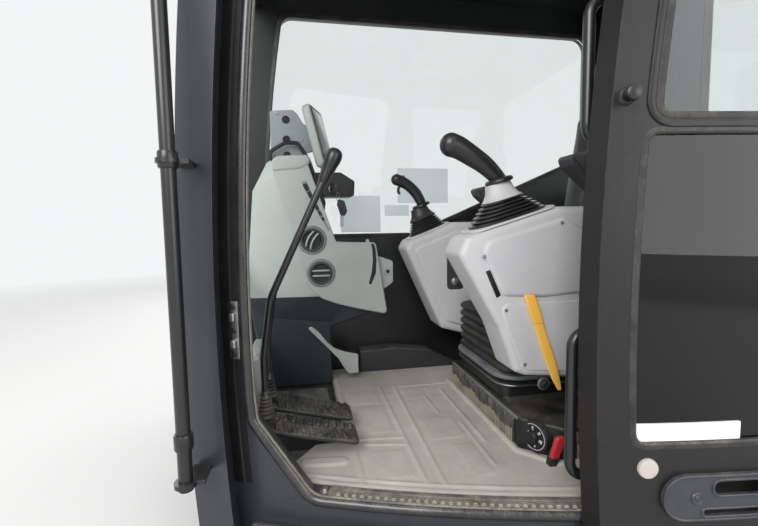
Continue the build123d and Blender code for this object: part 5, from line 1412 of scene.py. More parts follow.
# %% Backrest: the same cloth, upright, in front of a moulded shell
PIVOT = Vector((-0.5, SEAT_Y, 0.52))
LEAN = Matrix.Translation(PIVOT) @ Matrix.Rotation(math.radians(-6.0), 4, "Y") @ Matrix.Translation(-PIVOT)
BACK_X = (-0.5825, -0.4775)
BACK_Z = (0.48, 1.12)
back = bmesh.new()
pillow(
    back, (BACK_X[0] + 0.03, SEAT_Y - 0.195, BACK_Z[0] + 0.004),
    (BACK_X[1] - 0.004, SEAT_Y + 0.195, BACK_Z[1] - 0.004), 0.026,
)
for v in back.verts:
    up_by = (v.co.z - BACK_Z[0]) / (BACK_Z[1] - BACK_Z[0])
    share = (v.co.x - BACK_X[0]) / (BACK_X[1] - BACK_X[0])
    waist = 0.06 * math.sin(math.pi * min(1.0, up_by * 1.25)) ** 2
    v.co.y -= (v.co.y - SEAT_Y) * (0.16 * max(0.0, up_by - 0.55) / 0.45 + waist * 0.4)
    dip = 0.022 * max(0.0, 1 - (abs(v.co.y - SEAT_Y) / 0.13) ** 4)
    lumbar = 0.012 * math.exp(-(((up_by - 0.33) / 0.16) ** 2))
    v.co.x -= (dip - lumbar) * max(0.0, share)
back_rows = [BACK_Z[0] + 0.13 + 0.085 * k for k in range(6)]


def back_groove(p, n):
    """Seams beside the panel and across it."""
    if n.x < 0.15:
        return 0.0
    sides = near(abs(p.y - SEAT_Y), (PANEL,), 0.007, 0.006)
    inside = abs(p.y - SEAT_Y) < PANEL and p.z < BACK_Z[1] - 0.05
    return max(sides, near(p.z, back_rows, 0.006, 0.0045) if inside else 0.0)


def back_held(p):
    """Held at the shell and along the seams."""
    seams = min(abs(p.z - row) for row in back_rows) < 0.004 and abs(p.y - SEAT_Y) < PANEL
    return p.x < BACK_X[0] + 0.045 or p.x > BACK_X[0] + 0.065 and (
        seams or abs(abs(p.y - SEAT_Y) - PANEL) < 0.004
    )


blown(
    "seat_back_pad", back, "seatback", ["seat_back"], 0.007, 0.01, back_held, back_groove, beyond_panel(0),
    LEAN,
)


def on_shell(u, v, w):
    """A point on the moulded shell: to the left, up, and out to the rear."""
    return Vector((BACK_X[0] + 0.042 - w, SEAT_Y + u, BACK_Z[0] + v))


outline = arcs(
    [(-0.186, 0.008), (0.186, 0.008), (0.18, 0.3), (0.16, 0.632), (-0.16, 0.632), (-0.18, 0.3)], 0.05,
)
shell = rolled(bmesh.new(), outline, on_shell, 0.0, 0.04, 0.018, steps=6)
for k in range(5):
    rib = rectangle(-0.11, 0.11, 0.2 + 0.07 * k, 0.212 + 0.07 * k, 0.006)
    rolled(shell, rib, on_shell, 0.038, 0.0425, 0.002, steps=3)
bmesh.ops.transform(shell, matrix=LEAN, verts=shell.verts)
piece("seat_back_shell", shell, "seatback", "frame_black")

# %% Headrest and its two posts
low, high = Vector((-0.575, SEAT_Y - 0.13, 1.1205)), Vector((-0.485, SEAT_Y + 0.13, 1.3103))
head = bmesh.new()
pillow(head, low + Vector((0.004, 0.005, 0.012)), high - Vector((0.004, 0.005, 0.006)), 0.03, 18)
for v in head.verts:
    up_by = (v.co.z - low.z) / (high.z - low.z)
    v.co.y -= (v.co.y - SEAT_Y) * 0.14 * abs(up_by - 0.45)
    v.co.x -= 0.01 * max(0.0, 1 - (abs(v.co.y - SEAT_Y) / 0.1) ** 2) * (v.co.x > (low.x + high.x) / 2)
HEAD_MID = (low + high) / 2


def head_groove(p, n):
    """One seam round the headrest, halfway through it."""
    return near(p.x, (HEAD_MID.x - 0.012,), 0.006, 0.004) * (abs(n.x) < 0.7)


def head_held(p):
    """Held along its seam and underneath."""
    return abs(p.x - HEAD_MID.x + 0.012) < 0.005 or p.z < HEAD_MID.z - 0.078


blown(
    "headrest_pad", head, "seatback", ["headrest"], 0.0055, 0.009, head_held, head_groove,
    lambda p, n: n.x < 0.3, LEAN,
)
posts = bmesh.new()
for y in (-0.055, 0.055):
    lathe(
        posts, [(0, 0), (0, 10.5), (6, 11.5), (9, 7), (16, 5.8), (46, 5.8), (46, 0)],
        (-0.53, SEAT_Y + y, 1.112), (0, 0, 1), sides=20,
    )
bmesh.ops.transform(posts, matrix=LEAN, verts=posts.verts)
piece("headrest_posts", posts, "seatback", "rail_steel")
print("seat pads done")

# %% [markdown]
# ## Doorway
# The cab's left side is a vertical arc, and its front is a curve too, so everything round the doorway follows
# two functions: where the front curve lies at a height, and where the side lies at an x. The seal is a fat
# rubber tube with a thin pale lip on its inner side, swept along the doorway's outline; the lip's pale colour
# is partly dust and partly a painted highlight along the doorway's steel edge.

# %% Curves of the cab and the doorway's outline
FRONT_X, FRONT_R, FRONT_Z = 0.714, 5.8, 0.55


def front_x(back, z):
    """X of the front curve moved back by a distance, at a height."""
    return FRONT_X - FRONT_R + math.sqrt((FRONT_R - back) ** 2 - (z - FRONT_Z) ** 2)


def on_skin(x, z, out):
    """A point on the left side, moved out from it."""
    t = math.asin((x - SIDE_X) / SIDE_R)
    return Vector((SIDE_X + (SIDE_R + out) * math.sin(t), SIDE_Y + (SIDE_R + out) * math.cos(t), z))


def doorway(grow=0.0):
    """The doorway's outline, grown all round, as x and z, anticlockwise."""
    knee, back = 0.301, 0.14 - grow
    low, high, rear = 0.136 - grow, 1.57 + grow, -0.15 - grow
    turn_x = front_x(back, knee) - 0.125
    corners = [
        (turn_x, low, 0.045), (front_x(back, knee), knee, 0.045), (front_x(back, high), high, 0.09),
        (rear, high, 0.09), (rear, low, 0.045),
    ]
    made = []
    for i, (x, z, r) in enumerate(corners):
        p, before, after = Vector((x, z)), Vector(corners[i - 1][:2]), Vector(corners[(i + 1) % 5][:2])
        u, v = (before - p).normalized(), (after - p).normalized()
        reach = (r + grow) / math.tan(u.angle(v) / 2)
        made += eased(p, u, v, reach, 8)
        length = (after - p).length
        steps = int(length / 0.03)
        for k in range(1, steps):
            q = p + v * (reach + (length - 2 * reach) * k / steps)
            if i == 1:
                q.x = front_x(back, q.y)
            made.append(q)
    return made


def gasket(mesh, outline, section, place=on_skin):
    """A closed bead along an outline; section is (outwards from the outline, out of the panel)."""
    rings = []
    for i, p in enumerate(outline):
        way = (outline[(i + 1) % len(outline)] - outline[i - 1]).normalized()
        across = Vector((way.y, -way.x))
        rings.append([place(p.x + across.x * a, p.y + across.y * a, out) for a, out in section])
    loops = [[mesh.verts.new(p) for p in ring] for ring in rings]
    for i, loop in enumerate(loops):
        after = loops[(i + 1) % len(loops)]
        for j in range(len(loop)):
            k = (j + 1) % len(loop)
            mesh.faces.new((loop[j], loop[k], after[k], after[j]))
    return mesh


section = [(0.0015 + 0.0115 * math.cos(a), 0.0035 + 0.0112 * math.sin(a)) for a in angles(18)]
seal = gasket(bmesh.new(), doorway(0.004), section)
SEAL = finish(
    "seal_gloss", (26, 28, 31), 0.24, (38, 39, 42), grain=(0.003, 0.00008), dust=(0.3, 0.05, 0.12),
    scratch=(0.15, 0.02, (96, 94, 90)), coat=0.3,
)
piece("door_seal_tube", seal, "cab", "seal_rubber", "door_seal", material=SEAL, angle=60)
# The thin pale lip is partly dust and partly a painted highlight along the doorway's steel edge.
section = [(0.0016 * math.cos(a) - 0.0105, 0.0025 + 0.0042 * math.sin(a)) for a in angles(10)]
lip = gasket(bmesh.new(), doorway(0.004), section)
LIP_DUST_AND_HIGHLIGHT = finish("seal_lip", (112, 110, 105), 0.7, (88, 86, 83), grain=(0.002, 0.0001), dust=(0.7, 0.04, 0.5))
piece("door_seal_lip", lip, "cab", "seal_rubber", material=LIP_DUST_AND_HIGHLIGHT, angle=60)

# %% Black sheet in the channel between the front post and the seal: partly the channel's own black, partly painted shade
columns = []
for k in range(61):
    z = 0.15 + (1.6 - 0.15) * k / 60
    a, b = front_x(0.0812, z), front_x(0.121, z)
    run = []
    for x, out in (
        (a, -0.001), (a, 0.0016), (b + (a - b) * 0.55, 0.0018), (b + (a - b) * 0.5, 0.0052),
        (b + (a - b) * 0.4, 0.0052), (b + (a - b) * 0.35, 0.0018), (b, 0.0016), (b, -0.001),
    ):
        run.append(on_skin(x, z, out))
    columns.append(run)
liner = skin(bmesh.new(), columns)
# Near-black: partly the channel's own black, partly painted shade in the recess.
LINER_BLACK_AND_SHADE = finish(
    "liner_black_and_shade", (12, 12, 15), 0.4, (20, 20, 23), grain=(0.0015, 0.00004), dust=(0.25, 0.1, 0.1),
    scratch=(0.1, 0.03, (70, 70, 72)),
)
piece("post_channel_black_and_shade", liner, "cab", "frame_black", material=LINER_BLACK_AND_SHADE, angle=20)

# %% Sill strip: scuffed rubber with a row of small rings, three studs and a bolt
stations = []
for k in range(90):
    x = 0.418 - (0.418 + 0.148) * k / 89
    ring = []
    for inward, z in (
        (0.0445, 0.1355), (0.0445, 0.1382), (0.042, 0.1392), (0.034, 0.1394), (0.0325, 0.1406),
        (0.0295, 0.1408), (0.028, 0.1394), (0.003, 0.1392), (0.001, 0.1382), (0.001, 0.1355),
    ):
        p = on_skin(x, 0.0, -inward)
        ring.append(Vector((p.x, p.y, z)))
    stations.append(ring)
strip = skin(bmesh.new(), stations)
SILL = finish(
    "sill_strip", (104, 102, 98), 0.6, (66, 65, 63), grain=(0.0025, 0.00015), dust=(0.6, 0.03, 0.3),
    scratch=(0.6, 0.02, (44, 43, 42)), level=0.35,
)
piece("sill_strip", strip, "cab", "seal_rubber", material=SILL, angle=25)
RING_PALE = finish(
    "sill_rings", (196, 191, 182), 0.6, (150, 146, 140), grain=(0.001, 0.00004), dust=(0.3, 0.03, 0.3),
)
rings = bmesh.new()
x = 0.395
while x > -0.14:
    p = on_skin(x, 0.0, -0.0105)
    lathe(
        rings, [(0, 4.6), (1.2, 4.5), (2, 3.8), (1.6, 2.9), (0, 2.6)], (p.x, p.y, 0.1391), (0, 0, 1),
        sides=16, hollow=True,
    )
    x -= 0.0165
piece("sill_rings", rings, "cab", "seal_rubber", material=RING_PALE)
studs = bmesh.new()
for x, inward, r in ((-0.112, 0.03, 6.5), (-0.132, 0.02, 7.5), (-0.128, 0.036, 5.5)):
    p = on_skin(x, 0.0, -inward)
    lathe(
        studs, [(-1, 0), (-1, r), (2, r * 0.92), (4.2, r * 0.6), (4.8, 0)], (p.x, p.y, 0.1393), (0, 0, 1),
        sides=20,
    )
piece("sill_studs", studs, "cab", "rail_steel")
piece(
    "sill_bolt", bolt(bmesh.new(), (0.418, 0.452, 0.1362), (0, 0, 1), 0.008, 0.005), "cab", "rail_steel",
    angle=30,
)

# %% Handrail: one black tube in three clamps
RAIL_X, RAIL_Y = 0.698, 0.486
RAIL = finish(
    "rail_black", (28, 29, 31), 0.3, (22, 23, 25), grain=(0.0016, 0.00003), wear=(0.001, 0.4, PALE_WEAR),
    dust=(0.12, 0.08, 0.06), coat=0.25,
)
for name in ("handrail", "grab_rail_upper", "grab_rail_lower"):
    repaint(name, RAIL)
clamps = bmesh.new()
for z in (0.3, 0.855, 1.4):
    lathe(
        clamps, [(-16, 14.2), (-16, 17.2), (-13, 18.5), (13, 18.5), (16, 17.2), (16, 14.2)],
        (RAIL_X, RAIL_Y, z), (0, 0, 1), sides=32, hollow=True,
    )
piece("handrail_clamps", clamps, "cab", "frame_black", material=RAIL)

# %% Striker on the post: a bright plate with two lugs and three bolts
low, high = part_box("latch_striker")
middle = (low + high) / 2
t = math.asin((middle.x - SIDE_X) / SIDE_R)
out = Vector((math.sin(t), math.cos(t), 0))
along = Vector((-math.cos(t), math.sin(t), 0))
base = on_skin(0.604, 0.5, 0.0)


def on_striker(u, v, w):
    """Across to the rear, up, and out from the post."""
    return base + along * u + Vector((0, 0, v)) + out * w


plate = rolled(
    bmesh.new(), rectangle(-0.012, 0.012, -0.065, 0.065, 0.005), on_striker, -0.001, 0.0045, 0.0015, steps=3,
)
for v in (-0.03, 0.03):
    rolled(
        plate, rectangle(-0.007, 0.007, v - 0.01, v + 0.01, 0.005), on_striker, 0.003,
        (high.y - base.y) * 0.92, 0.004, steps=4,
    )
piece("striker_plate", plate, "cab", "rail_steel", "latch_striker")
heads = bmesh.new()
for v in (-0.053, 0.0, 0.053):
    bolt(heads, on_striker(0.0, v, 0.0044), out, 0.0045, 0.003, 1.3)
piece("striker_bolts", heads, "cab", "frame_black", angle=30)
print("doorway done")

# %% [markdown]
# ## Floor mat
# The mat is one rubber sheet with moulded ribs and raised fields, a lip along the doorway and a rim round the
# seat's riser. Its height is a function of x and y: each rib is a smooth bump across a line, and a field is a
# low step with soft sides. A fine grid takes its height from that function.

# %% Heights of the mat
MAT_FOOT = 0.1298
RIBS = (
    (0.186, -0.12, 0.186, 0.475, 0.006, 0.004), (0.132, -0.12, 0.147, 0.48, 0.006, 0.004),
    (0.33, 0.18, 0.33, 0.458, 0.007, 0.004), (0.33, 0.236, 0.19, 0.25, 0.005, 0.0035),
    (0.3, 0.268, 0.19, 0.29, 0.005, 0.0035), (0.048, -0.02, 0.044, 0.125, 0.005, 0.0035),
    (-0.026, -0.06, -0.026, 0.318, 0.006, 0.004), (-0.001, 0.198, 0.001, 0.43, 0.005, 0.0035),
    (0.132, -0.12, -0.09, -0.12, 0.006, 0.0035), (0.33, 0.18, 0.33, -0.3, 0.006, 0.0035),
)
FIELDS = (
    (0.205, 0.318, 0.03, 0.215, 0.0025), (0.205, 0.318, -0.11, 0.01, 0.0025),
    (0.205, 0.318, 0.31, 0.44, 0.0025), (0.012, 0.118, 0.15, 0.285, 0.0025),
    (0.012, 0.118, -0.1, 0.0, 0.0025), (0.012, 0.07, 0.32, 0.47, 0.0025), (0.148, 0.172, -0.11, 0.46, -0.0015)
)


def line_gap(x, y, x0, y0, x1, y1):
    """Distance from a point to a line between two points."""
    dx, dy = x1 - x0, y1 - y0
    t = max(0.0, min(1.0, ((x - x0) * dx + (y - y0) * dy) / (dx * dx + dy * dy)))
    return math.hypot(x - x0 - t * dx, y - y0 - t * dy)


def soft(value):
    """A smooth step between 0 and 1."""
    value = max(0.0, min(1.0, value))
    return value * value * (3 - 2 * value)


def left_edge(x):
    """Y of the mat's left edge at x."""
    return SIDE_Y + math.sqrt((SIDE_R - 0.049) ** 2 - (x - SIDE_X) ** 2)


def mat_height(x, y):
    """Height of the mat's surface over its underside."""
    h = 0.0
    for x0, x1, y0, y1, rise in FIELDS:
        inside = min(x - x0, x1 - x, y - y0, y1 - y)
        h += 0.5 * rise * soft((inside + 0.002) / 0.009)
    for x0, y0, x1, y1, half, rise in RIBS:
        h = max(h, 0.7 * rise * soft(1.4 - line_gap(x, y, x0, y0, x1, y1) / half))
    pad = line_gap(x, y, 0.455, 0.326, 0.372, 0.336)
    h = max(h, 0.0045 * soft((0.02 - pad) / 0.005))
    edge = left_edge(x) - y
    h = max(
        h, 0.0058 * soft((0.016 - edge) / 0.004),
        0.0025 * soft((0.045 - edge) / 0.01) * soft((edge - 0.026) / 0.006),
    )
    rim = min(
        line_gap(x, y, -0.085, -0.14, -0.085, 0.385), line_gap(x, y, -0.085, 0.385, -0.15, 0.462),
        line_gap(x, y, -0.15, 0.462, -0.6, 0.462),
    )
    h = max(h, 0.0065 * soft((0.009 - rim) / 0.004))
    sag = 0.0006 * noise.noise(Vector((x * 9, y * 9, 0.3)))
    sag += 0.00035 * noise.noise(Vector((x * 40, y * 40, 1.7)))
    return 0.0036 + h + sag


# %% The mat's sheet, in front of and beside the pedals' well
def well_edge(x):
    """Right edge of the mat beside the pedals' well."""
    return 0.239 + 0.095 * max(0.0, min(1.0, (x - 0.43) / 0.07))


sheet = bmesh.new()
for x0, x1, columns, rows, lower in (
    (-0.6, 0.346, 236, 250, lambda x: -0.364), (0.346, 0.61, 60, 44, well_edge),
):
    grid = []
    for i in range(columns + 1):
        x = x0 + (x1 - x0) * i / columns
        y0, y1 = lower(x), left_edge(x)
        run = []
        for j in range(rows + 1):
            y = y0 + (y1 - y0) * j / rows
            run.append(Vector((x, y, FLOOR_TOP + mat_height(x, y))))
        run = [Vector((x, y0, MAT_FOOT))] + run + [Vector((x, y1, MAT_FOOT))]
        grid.append([sheet.verts.new(p) for p in run])
    for a, b in zip(grid, grid[1:]):
        for j in range(len(a) - 1):
            sheet.faces.new((a[j], a[j + 1], b[j + 1], b[j]))
    for run in (grid[0], grid[-1]):
        ends = [sheet.verts.new((v.co.x, v.co.y, MAT_FOOT)) for v in run[1:-1]]
        row = [run[0]] + ends + [run[-1]]
        for j in range(len(run) - 1):
            quad = [run[j], run[j + 1], row[j + 1], row[j]]
            quad = [v for k, v in enumerate(quad) if v not in quad[:k]]
            if len(quad) > 2:
                sheet.faces.new(quad)
MAT = finish(
    "mat_dusty", (202, 198, 191), 0.82, (174, 172, 167), grain=(0.003, 0.00016),
    wear=(0.002, 0.8, (220, 217, 210)), dust=(0.45, 0.07, 0.2), scratch=(0.2, 0.02, (116, 116, 116)),
    level=0.25,
)
piece("floor_mat_sheet", sheet, "cab", "mat_rubber", material=MAT, angle=50)

# %% Pedals: a ribbed rubber pad on a steel arm
PEDAL_X = (0.32, 0.595)
SLANT = 0.006  # how far a rib's end lies behind its middle
for side_name, y in (("left", 0.29), ("right", 0.155)):
    rise = 0.066 / (PEDAL_X[1] - PEDAL_X[0])
    lean = math.atan(rise)
    foot = Vector((PEDAL_X[0] + 0.004, y, 0.1745))
    way, up_way = Vector((math.cos(lean), 0, math.sin(lean))), Vector((-math.sin(lean), 0, math.cos(lean)))

    def on_pedal(u, v, w, foot=foot, way=way, up_way=up_way):
        """Along the pedal to the front, across to the left, and up from its underside."""
        return foot + way * u + Vector((0, v, 0)) + up_way * w

    length = (PEDAL_X[1] - PEDAL_X[0]) / math.cos(lean) - 0.012
    outline = arcs(
        [
            (0.0, -0.05), (length * 0.78, -0.0525), (length, -0.036), (length, 0.036),
            (length * 0.78, 0.0525), (0.0, 0.05),
        ],
        0.014,
    )
    pad = rolled(bmesh.new(), outline, on_pedal, -0.004, 0.0075, 0.004, foot_edge=0.003)
    for k in range(11):
        u = 0.016 + 0.0215 * k
        half = 0.0455 if u < length * 0.75 else 0.0455 - (u - length * 0.75) * 0.5
        for v0, v1 in ((-half, -0.004), (0.004, half)):
            a, b = u - SLANT * (v0 < 0), u - SLANT * (v0 > 0)
            rib = arcs([(a, v0), (a + 0.01, v0), (b + 0.01, v1), (b, v1)], 0.002)
            rolled(pad, rib, on_pedal, 0.006, 0.0125, 0.002, steps=3)
    piece("pedal_" + side_name + "_pad", pad, "cab", "pedal_rubber", "pedal_" + side_name)
    arm = rolled(
        bmesh.new(), rectangle(0.03, length - 0.012, -0.022, 0.022, 0.006), on_pedal, -0.016, -0.003, 0.003,
    )
    for v in (-0.03, 0.03):
        line = bent(
            [on_pedal(length - 0.03, v, -0.012), on_pedal(length - 0.012, v, -0.03), (0.56, y + v, 0.121)],
            0.012,
        )
        pipe(arm, line, 0.007, sides=14)
    for u in (0.05, 0.12):
        bolt(arm, on_pedal(u, 0.0, -0.0155), -up_way, 0.006, 0.004)
    piece("pedal_" + side_name + "_arm", arm, "cab", "frame_black")

# %% The well: a pale plate with a round cap in front, a dark floor plate and a corner plate
outline = arcs([(0.595, -0.19), (0.628, -0.19), (0.636, 0.06), (0.612, 0.075), (0.59, 0.04)], 0.01)
well = rolled(bmesh.new(), outline, on_plan, 0.1195, 0.33, 0.012)
lathe(well, [(0, 0), (0, 16), (6, 15.5), (9, 12), (10, 0)], (0.612, 0.02, 0.3295), (0, 0, 1), sides=32)
piece("well_side_plate", well, "cab", "console_green")
outline = arcs([(0.372, -0.195), (0.59, -0.195), (0.59, 0.066), (0.43, 0.08), (0.372, 0.04)], 0.012)
plate = rolled(bmesh.new(), outline, on_plan, 0.1195, 0.1255, 0.002)
for x, y in ((0.4, -0.16), (0.56, -0.16), (0.56, 0.04), (0.42, 0.05)):
    bolt(plate, (x, y, 0.1252), (0, 0, 1), 0.006, 0.004)
WELL = finish(
    "well_plate", (74, 84, 94), 0.5, (58, 66, 75), grain=(0.0015, 0.00004), wear=(0.002, 0.6, PALE_WEAR),
    dust=(0.7, 0.06, 0.2), scratch=(0.3, 0.03, PALE_WEAR),
)
piece("well_floor_plate", plate, "cab", "frame_black", material=WELL, angle=30)
outline = arcs([(0.44, 0.245), (0.5, 0.245), (0.566, 0.34), (0.566, 0.372), (0.51, 0.372), (0.44, 0.3)], 0.01)
piece(
    "well_corner_plate", rolled(bmesh.new(), outline, on_plan, 0.1195, 0.1262, 0.002), "cab", "frame_black",
    material=WELL, angle=30,
)
print("floor done")

# %% [markdown]
# ## Under the seat
# The seat rides on a scissor suspension hidden by a rubber bellows. Pressed plates carry the bellows, and the
# riser below has a bristly skirt that sweeps dirt away. Controls sit at the riser's corner: a dial and a red
# release handle.

# %% Suspension plates and bellows
low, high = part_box("seat_suspension")
PLATE_TOP = finish(
    "plate_top", (118, 123, 128), 0.42, (98, 103, 108), grain=(0.0014, 0.00004),
    wear=(0.0015, 0.6, (178, 178, 176)), dust=(0.6, 0.08, 0.1), scratch=(0.3, 0.03, (64, 66, 68)), coat=0.15,
)
SUSPENSION = (
    ("base", 0.034, -0.097, 0.035, 0.03, "frame_black", ("seat_suspension",), None),
    ("bar", 0.006, -0.084, 0.014, 0.06, "rail_steel", (), None),
    ("neck", 0.014, -0.104, 0.05, 0.02, "frame_black", (), None),
    ("plate", 0.012, -0.08, 0.01, 0.07, "frame_black", (), PLATE_TOP),
)
z = low.z
for label, height, front, inset, radius, slot, nodes, material in SUSPENSION:
    edge = min(0.004, height * 0.45)
    piece(
        "suspension_" + label,
        rolled(
            bmesh.new(), rectangle(low.x, front, low.y - 0.01 + inset, high.y + 0.01 - inset, radius, 8),
            on_plan, z, z + height, edge, foot_edge=min(0.002, height * 0.3),
        ),
        "seat", slot, *nodes, material=material,
    )
    z += height
FOLDS = 6
outline = rectangle(low.x + 0.012, -0.094, low.y + 0.014, high.y - 0.014, 0.035, 8)
rings = []
rise = (high.z - z) / FOLDS
for i in range(FOLDS):
    for share, inset in (
        (0.02, 0.0135), (0.2, 0.004), (0.34, 0.0008), (0.5, 0.0), (0.66, 0.0008), (0.8, 0.004), (0.98, 0.0135)
    ):
        rings.append([Vector((p.x, p.y, z + (i + share) * rise)) for p in shrink(outline, inset)])
bellows = skin(bmesh.new(), rings)
BELLOWS = finish(
    "bellows_rubber", (38, 38, 40), 0.6, (52, 51, 51), grain=(0.0012, 0.00005),
    wear=(0.003, 0.4, (80, 80, 80)), dust=(0.16, 0.06, 0.04),
)
piece("suspension_bellows", bellows, "seat", "frame_black", material=BELLOWS, angle=60)

# %% Riser with its bristly skirt, two foot strips and bolts
BRISTLE = finish(
    "bristle_rubber", (34, 34, 36), 0.6, (50, 49, 48), grain=(0.001, 0.00005),
    wear=(0.003, 1.0, (176, 170, 160)), dust=(0.6, 0.03, 0.35),
)
# Pale strips on the bristles' crests: partly dust, partly painted highlight.
TIPS_DUST_AND_HIGHLIGHT = finish(
    "bristle_tips_dust_and_highlight", (186, 178, 158), 0.8, (112, 106, 92), grain=(0.001, 0.00006), dust=(0.3, 0.02, 0.3),
)
low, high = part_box("seat_riser")
corner_x, corner_y = -0.097, 0.45
outline = arcs(
    [
        (-0.56, -0.13), (corner_x, -0.13), (corner_x, corner_y - 0.08), (corner_x - 0.08, corner_y),
        (-0.56, corner_y),
    ],
    0.02,
)
piece(
    "seat_riser_box", rolled(bmesh.new(), outline, on_plan, FLOOR_TOP, 0.216, 0.007), "cab", "frame_black",
    "seat_riser",
)
SKIRT_Z = (0.137, 0.206)
BRISTLE_W, BRISTLE_OUT = 0.0085, 0.0062  # one bristle's width, and how far it stands out
SKIRT_LINES = (
    ((corner_x + 0.001, -0.112), (corner_x + 0.001, corner_y - 0.096)),
    ((corner_x - 0.092, corner_y + 0.001), (-0.545, corner_y + 0.001)),
)
skirt = bmesh.new()
tips = bmesh.new()
for start, end in SKIRT_LINES:
    start, end = Vector(start), Vector(end)
    way = (end - start).normalized()
    out_to = Vector((way.y, -way.x))
    count = int((end - start).length / BRISTLE_W)
    line = []
    for i in range(count):
        for share, reach in ((0.0, 0.0), (0.16, 0.75), (0.4, 1.0), (0.64, 0.75), (0.8, 0.0)):
            line.append(start + way * (i + share) * BRISTLE_W + out_to * reach * BRISTLE_OUT)
    rings = []
    z0, z1 = SKIRT_Z
    for lift, pull in ((z0, 0.3), (z0 + 0.003, 1.0), (z1 - 0.004, 1.0), (z1, 0.2)):
        back = out_to * BRISTLE_OUT * (1 - pull)
        rings.append([
            Vector((p.x - back.x, p.y - back.y, lift + 0.0006 * math.sin(k * 2.3)))
            for k, p in enumerate(line)
        ])
    skin(skirt, rings, start=False, end=False, closed=False)
    for i in range(count):
        crest = start + way * (i + 0.4) * BRISTLE_W + out_to * 0.0052
        tall = 0.03 + 0.002 * math.sin(i * 1.9) + 0.006 * math.sin(i * 0.37)
        rings = []
        for lift, wide in ((0.1385, 0.6), (0.14, 1.0), (0.14 + tall, 1.0), (0.1425 + tall, 0.3)):
            ring = []
            for u, v in ((-0.0014, 0.0), (-0.0008, 0.0016), (0.0008, 0.0016), (0.0014, 0.0)):
                p = crest + way * u * wide + out_to * v
                ring.append(Vector((p.x, p.y, lift)))
            rings.append(ring)
        skin(tips, rings)
piece("riser_skirt", skirt, "cab", "frame_black", material=BRISTLE, angle=50, weld=False)
# The crest strips are partly dust and partly painted highlight.
piece("riser_skirt_tips_and_highlight", tips, "cab", "frame_black", material=TIPS_DUST_AND_HIGHLIGHT, angle=40)
trim = bmesh.new()
outline = rectangle(corner_x - 0.004, corner_x + 0.0035, -0.118, corner_y - 0.088, 0.003, 8)
for foot, top in ((0.207, 0.2135), (0.1305, 0.1375)):
    rolled(trim, outline, on_plan, foot, top, 0.002)
piece("riser_trim", trim, "cab", "frame_black", material=PLATE_TOP)
fixings = bmesh.new()
for x in (-0.5, -0.38, -0.26):
    for y in (-0.09, 0.41):
        bolt(fixings, (x, y, 0.2158), (0, 0, 1), 0.007, 0.004)
piece("riser_bolts", fixings, "cab", "rail_steel", angle=30)
piece(
    "riser_tag",
    rolled(
        bmesh.new(), rectangle(-0.199, -0.176, 0.1555, 0.1975, 0.003), on_side, high.y + 0.0002,
        high.y + 0.0074, 0.0012, steps=2,
    ),
    "cab", "console_light", material=LABEL,
)

# %% Dial with a pale ring, plain marks and a ridged knob
turn = math.radians(22.0)
face_at = Vector((-0.119, 0.402, 0.177))
out = Vector((math.cos(turn), math.sin(turn), 0))
turned_piece(
    "dial_housing", [(-60, 0), (-60, 41), (-4, 42), (-1, 40.5), (0, 38), (-1.2, 36.5), (-1.2, 0)], face_at,
    out, "cab", "frame_black", sides=56,
)
marks = lathe(
    bmesh.new(), [(-1.6, 31.8), (-0.4, 32), (-0.4, 34), (-1.6, 34.2)], face_at, out, sides=64, hollow=True,
)
side_way = Vector((-math.sin(turn), math.cos(turn), 0))


def on_dial(a):
    """The direction at an angle on the dial, clockwise from its top."""
    return side_way * math.sin(a) + Vector((0, 0, 1)) * math.cos(a)


for degrees, near_r, far_r, wide in (
    (-118, 0.0165, 0.0262, 0.005), (-62, 0.018, 0.027, 0.0034), (-8, 0.017, 0.0272, 0.0026),
    (48, 0.0175, 0.0265, 0.004), (104, 0.0165, 0.026, 0.0052), (170, 0.0205, 0.0262, 0.0022),
):
    way = on_dial(math.radians(degrees))
    cross = out.cross(way)
    rings = []
    corners = ((near_r, -0.6), (far_r, -1.0), (far_r, 1.0), (near_r, 0.6))
    for up_by in (-0.0016, -0.0004):
        rings.append([face_at + out * up_by + way * r + cross * s * wide for r, s in corners])
    skin(marks, rings)
piece("dial_marks", marks, "cab", "console_light", angle=30)
rings = []
for up_by, r in ((-0.0012, 0.0145), (0.002, 0.0142), (0.007, 0.013), (0.009, 0.0122), (0.0098, 0.0105)):
    ring = []
    for k, a in enumerate(angles(72)):
        ridge = 1 - 0.045 * (k % 4 == 0) * (up_by > 0.001)
        ring.append(face_at + out * up_by + on_dial(a) * r * ridge)
    rings.append(ring)
piece("dial_knob", skin(bmesh.new(), rings), "cab", "grip_plastic", angle=50)

# %% Red release handle with a black foot
low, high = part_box("seat_release")
shape = ((-0.128, 0.146), (-0.151, 0.146), (-0.172, 0.196), (-0.166, 0.203), (-0.15, 0.203), (-0.144, 0.197))
side_piece(
    "seat_release_handle", shape, 0.006, low.y + 0.0015, high.y, 0.005, "cab", "release_red", "seat_release",
    steps=6, foot_edge=0.003,
)
foot = side_slab(
    bmesh.new(), [(-0.124, 0.1302), (-0.144, 0.1302), (-0.152, 0.152), (-0.128, 0.152)], 0.003,
    low.y + 0.0006, high.y + 0.0022, 0.002,
)
bolt(foot, (-0.136, high.y + 0.002, 0.139), (0, 1, 0), 0.0035, 0.002)
piece("seat_release_foot", foot, "cab", "frame_black")

